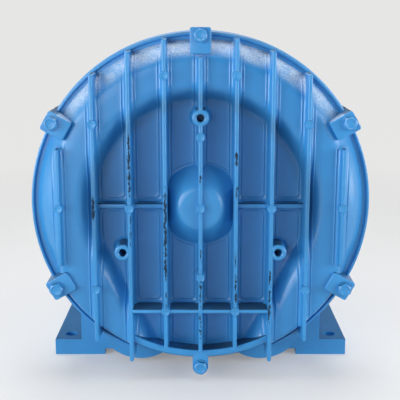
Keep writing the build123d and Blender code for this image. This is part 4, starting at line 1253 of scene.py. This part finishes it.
@dataclass
class Studio:
    """Floor, lights and camera; the camera's place is in mm from the cover and the shaft."""

    distance: float = 711.3
    rise: float = 156.2
    side: float = -0.4
    pitch: float = 11.75
    lens: float = 74.48
    flat_rings: tuple[float, ...] = (0.0, 0.6, 1.2, 2.4, 4.0, 5.5)
    floor_r: float = 7.0
    wall_height: float = 1.2
    sky: Colour = (0.9, 0.96, 1.0)
    sky_strength: float = 0.15

    def build(self) -> None:
        """Make the floor, the lamps, the world and the camera."""
        self._floor()
        for lamp in LAMPS:
            self._lamp(lamp)
        self._world()
        self._camera()

    def _floor(self) -> None:
        """A wide pale floor that sweeps up to a low wall all round, far from the machine.

        Formula: x = r cos a, y = r sin a, with z = h (1 - cos t) at r = flat + h sin t on the wall.
        """
        turn = np.linspace(0, np.pi / 2, 9)
        radius = np.concatenate([self.flat_rings, self.floor_r + self.wall_height * np.sin(turn)])
        height = np.concatenate([np.zeros(len(self.flat_rings)), self.wall_height * (1 - np.cos(turn))])
        angles = full_turn(96)
        points = np.stack(np.broadcast_arrays(
            radius[:, None] * np.cos(angles), radius[:, None] * np.sin(angles), height[:, None]), axis=-1)
        faces = grid_faces(len(radius), len(angles), False, True).tolist()
        floor = make_object("floor", points, faces, Finish.FLOOR)

    def _lamp(self, lamp: Lamp) -> None:
        """Hang one lamp, hidden from the camera.

        Args:
            lamp: The lamp's place, aim, width and power.
        """
        data = bpy.data.lights.new(lamp.name, "AREA")
        data.size = lamp.width
        data.energy = lamp.power
        made = bpy.data.objects.new(lamp.name, data)
        made.location = lamp.place
        made.rotation_euler = vector_turn(np.asarray(lamp.aim) - np.asarray(lamp.place))
        made.visible_camera = False
        bpy.context.scene.collection.objects.link(made)

    def _world(self) -> None:
        """Soft cool light from all round."""
        world = bpy.data.worlds.new("studio")
        world.use_nodes = True
        background = world.node_tree.nodes["Background"]
        background.inputs["Color"].default_value = (*self.sky, 1.0)
        background.inputs["Strength"].default_value = self.sky_strength
        bpy.context.scene.world = world

    def _camera(self) -> None:
        """The camera, level from side to side and looking slightly down at the cover."""
        data = bpy.data.cameras.new("camera")
        data.lens = self.lens
        data.sensor_width = 36.0
        data.clip_end = 20.0
        camera = bpy.data.objects.new("camera", data)
        place = (self.side, FORM.face_y - self.distance, FORM.shaft_z + self.rise)
        camera.location = [part * MM for part in place]
        camera.rotation_euler = (math.radians(90 - self.pitch), 0, 0)
        bpy.context.scene.collection.objects.link(camera)
        bpy.context.scene.camera = camera


def vector_turn(aim: Array) -> tuple[float, float, float]:
    """Euler turn that points a lamp's -Z axis along aim."""
    flat = math.hypot(aim[0], aim[1])
    return (math.atan2(flat, -aim[2]), 0.0, math.atan2(aim[1], aim[0]) - math.pi / 2)


_materials: dict[str, bpy.types.Material] = {}


def material_of(finish: Finish) -> bpy.types.Material:
    """The material of a finish, made once."""
    if finish.name not in _materials:
        _materials[finish.name] = finish.value.build()
    return _materials[finish.name]


def main() -> None:
    """Build and dress every sub-assembly, then the studio, and note the sizes."""
    logging.basicConfig(level=logging.INFO)
    for piece in Cover().build():
        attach(piece, BODY)
        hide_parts("front_cover")
        LOG.info("piece %s: %d vertices", piece.name, len(piece.data.vertices))
    bolts = CoverBolts().build()
    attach(bolts, BODY)
    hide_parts("cover_bolts")
    LOG.info("piece %s: %d vertices", bolts.name, len(bolts.data.vertices))
    CadDress().dress()
    Studio().build()
    bpy.context.scene.view_settings.view_transform = "Standard"


if __name__ == "__main__":
    main()
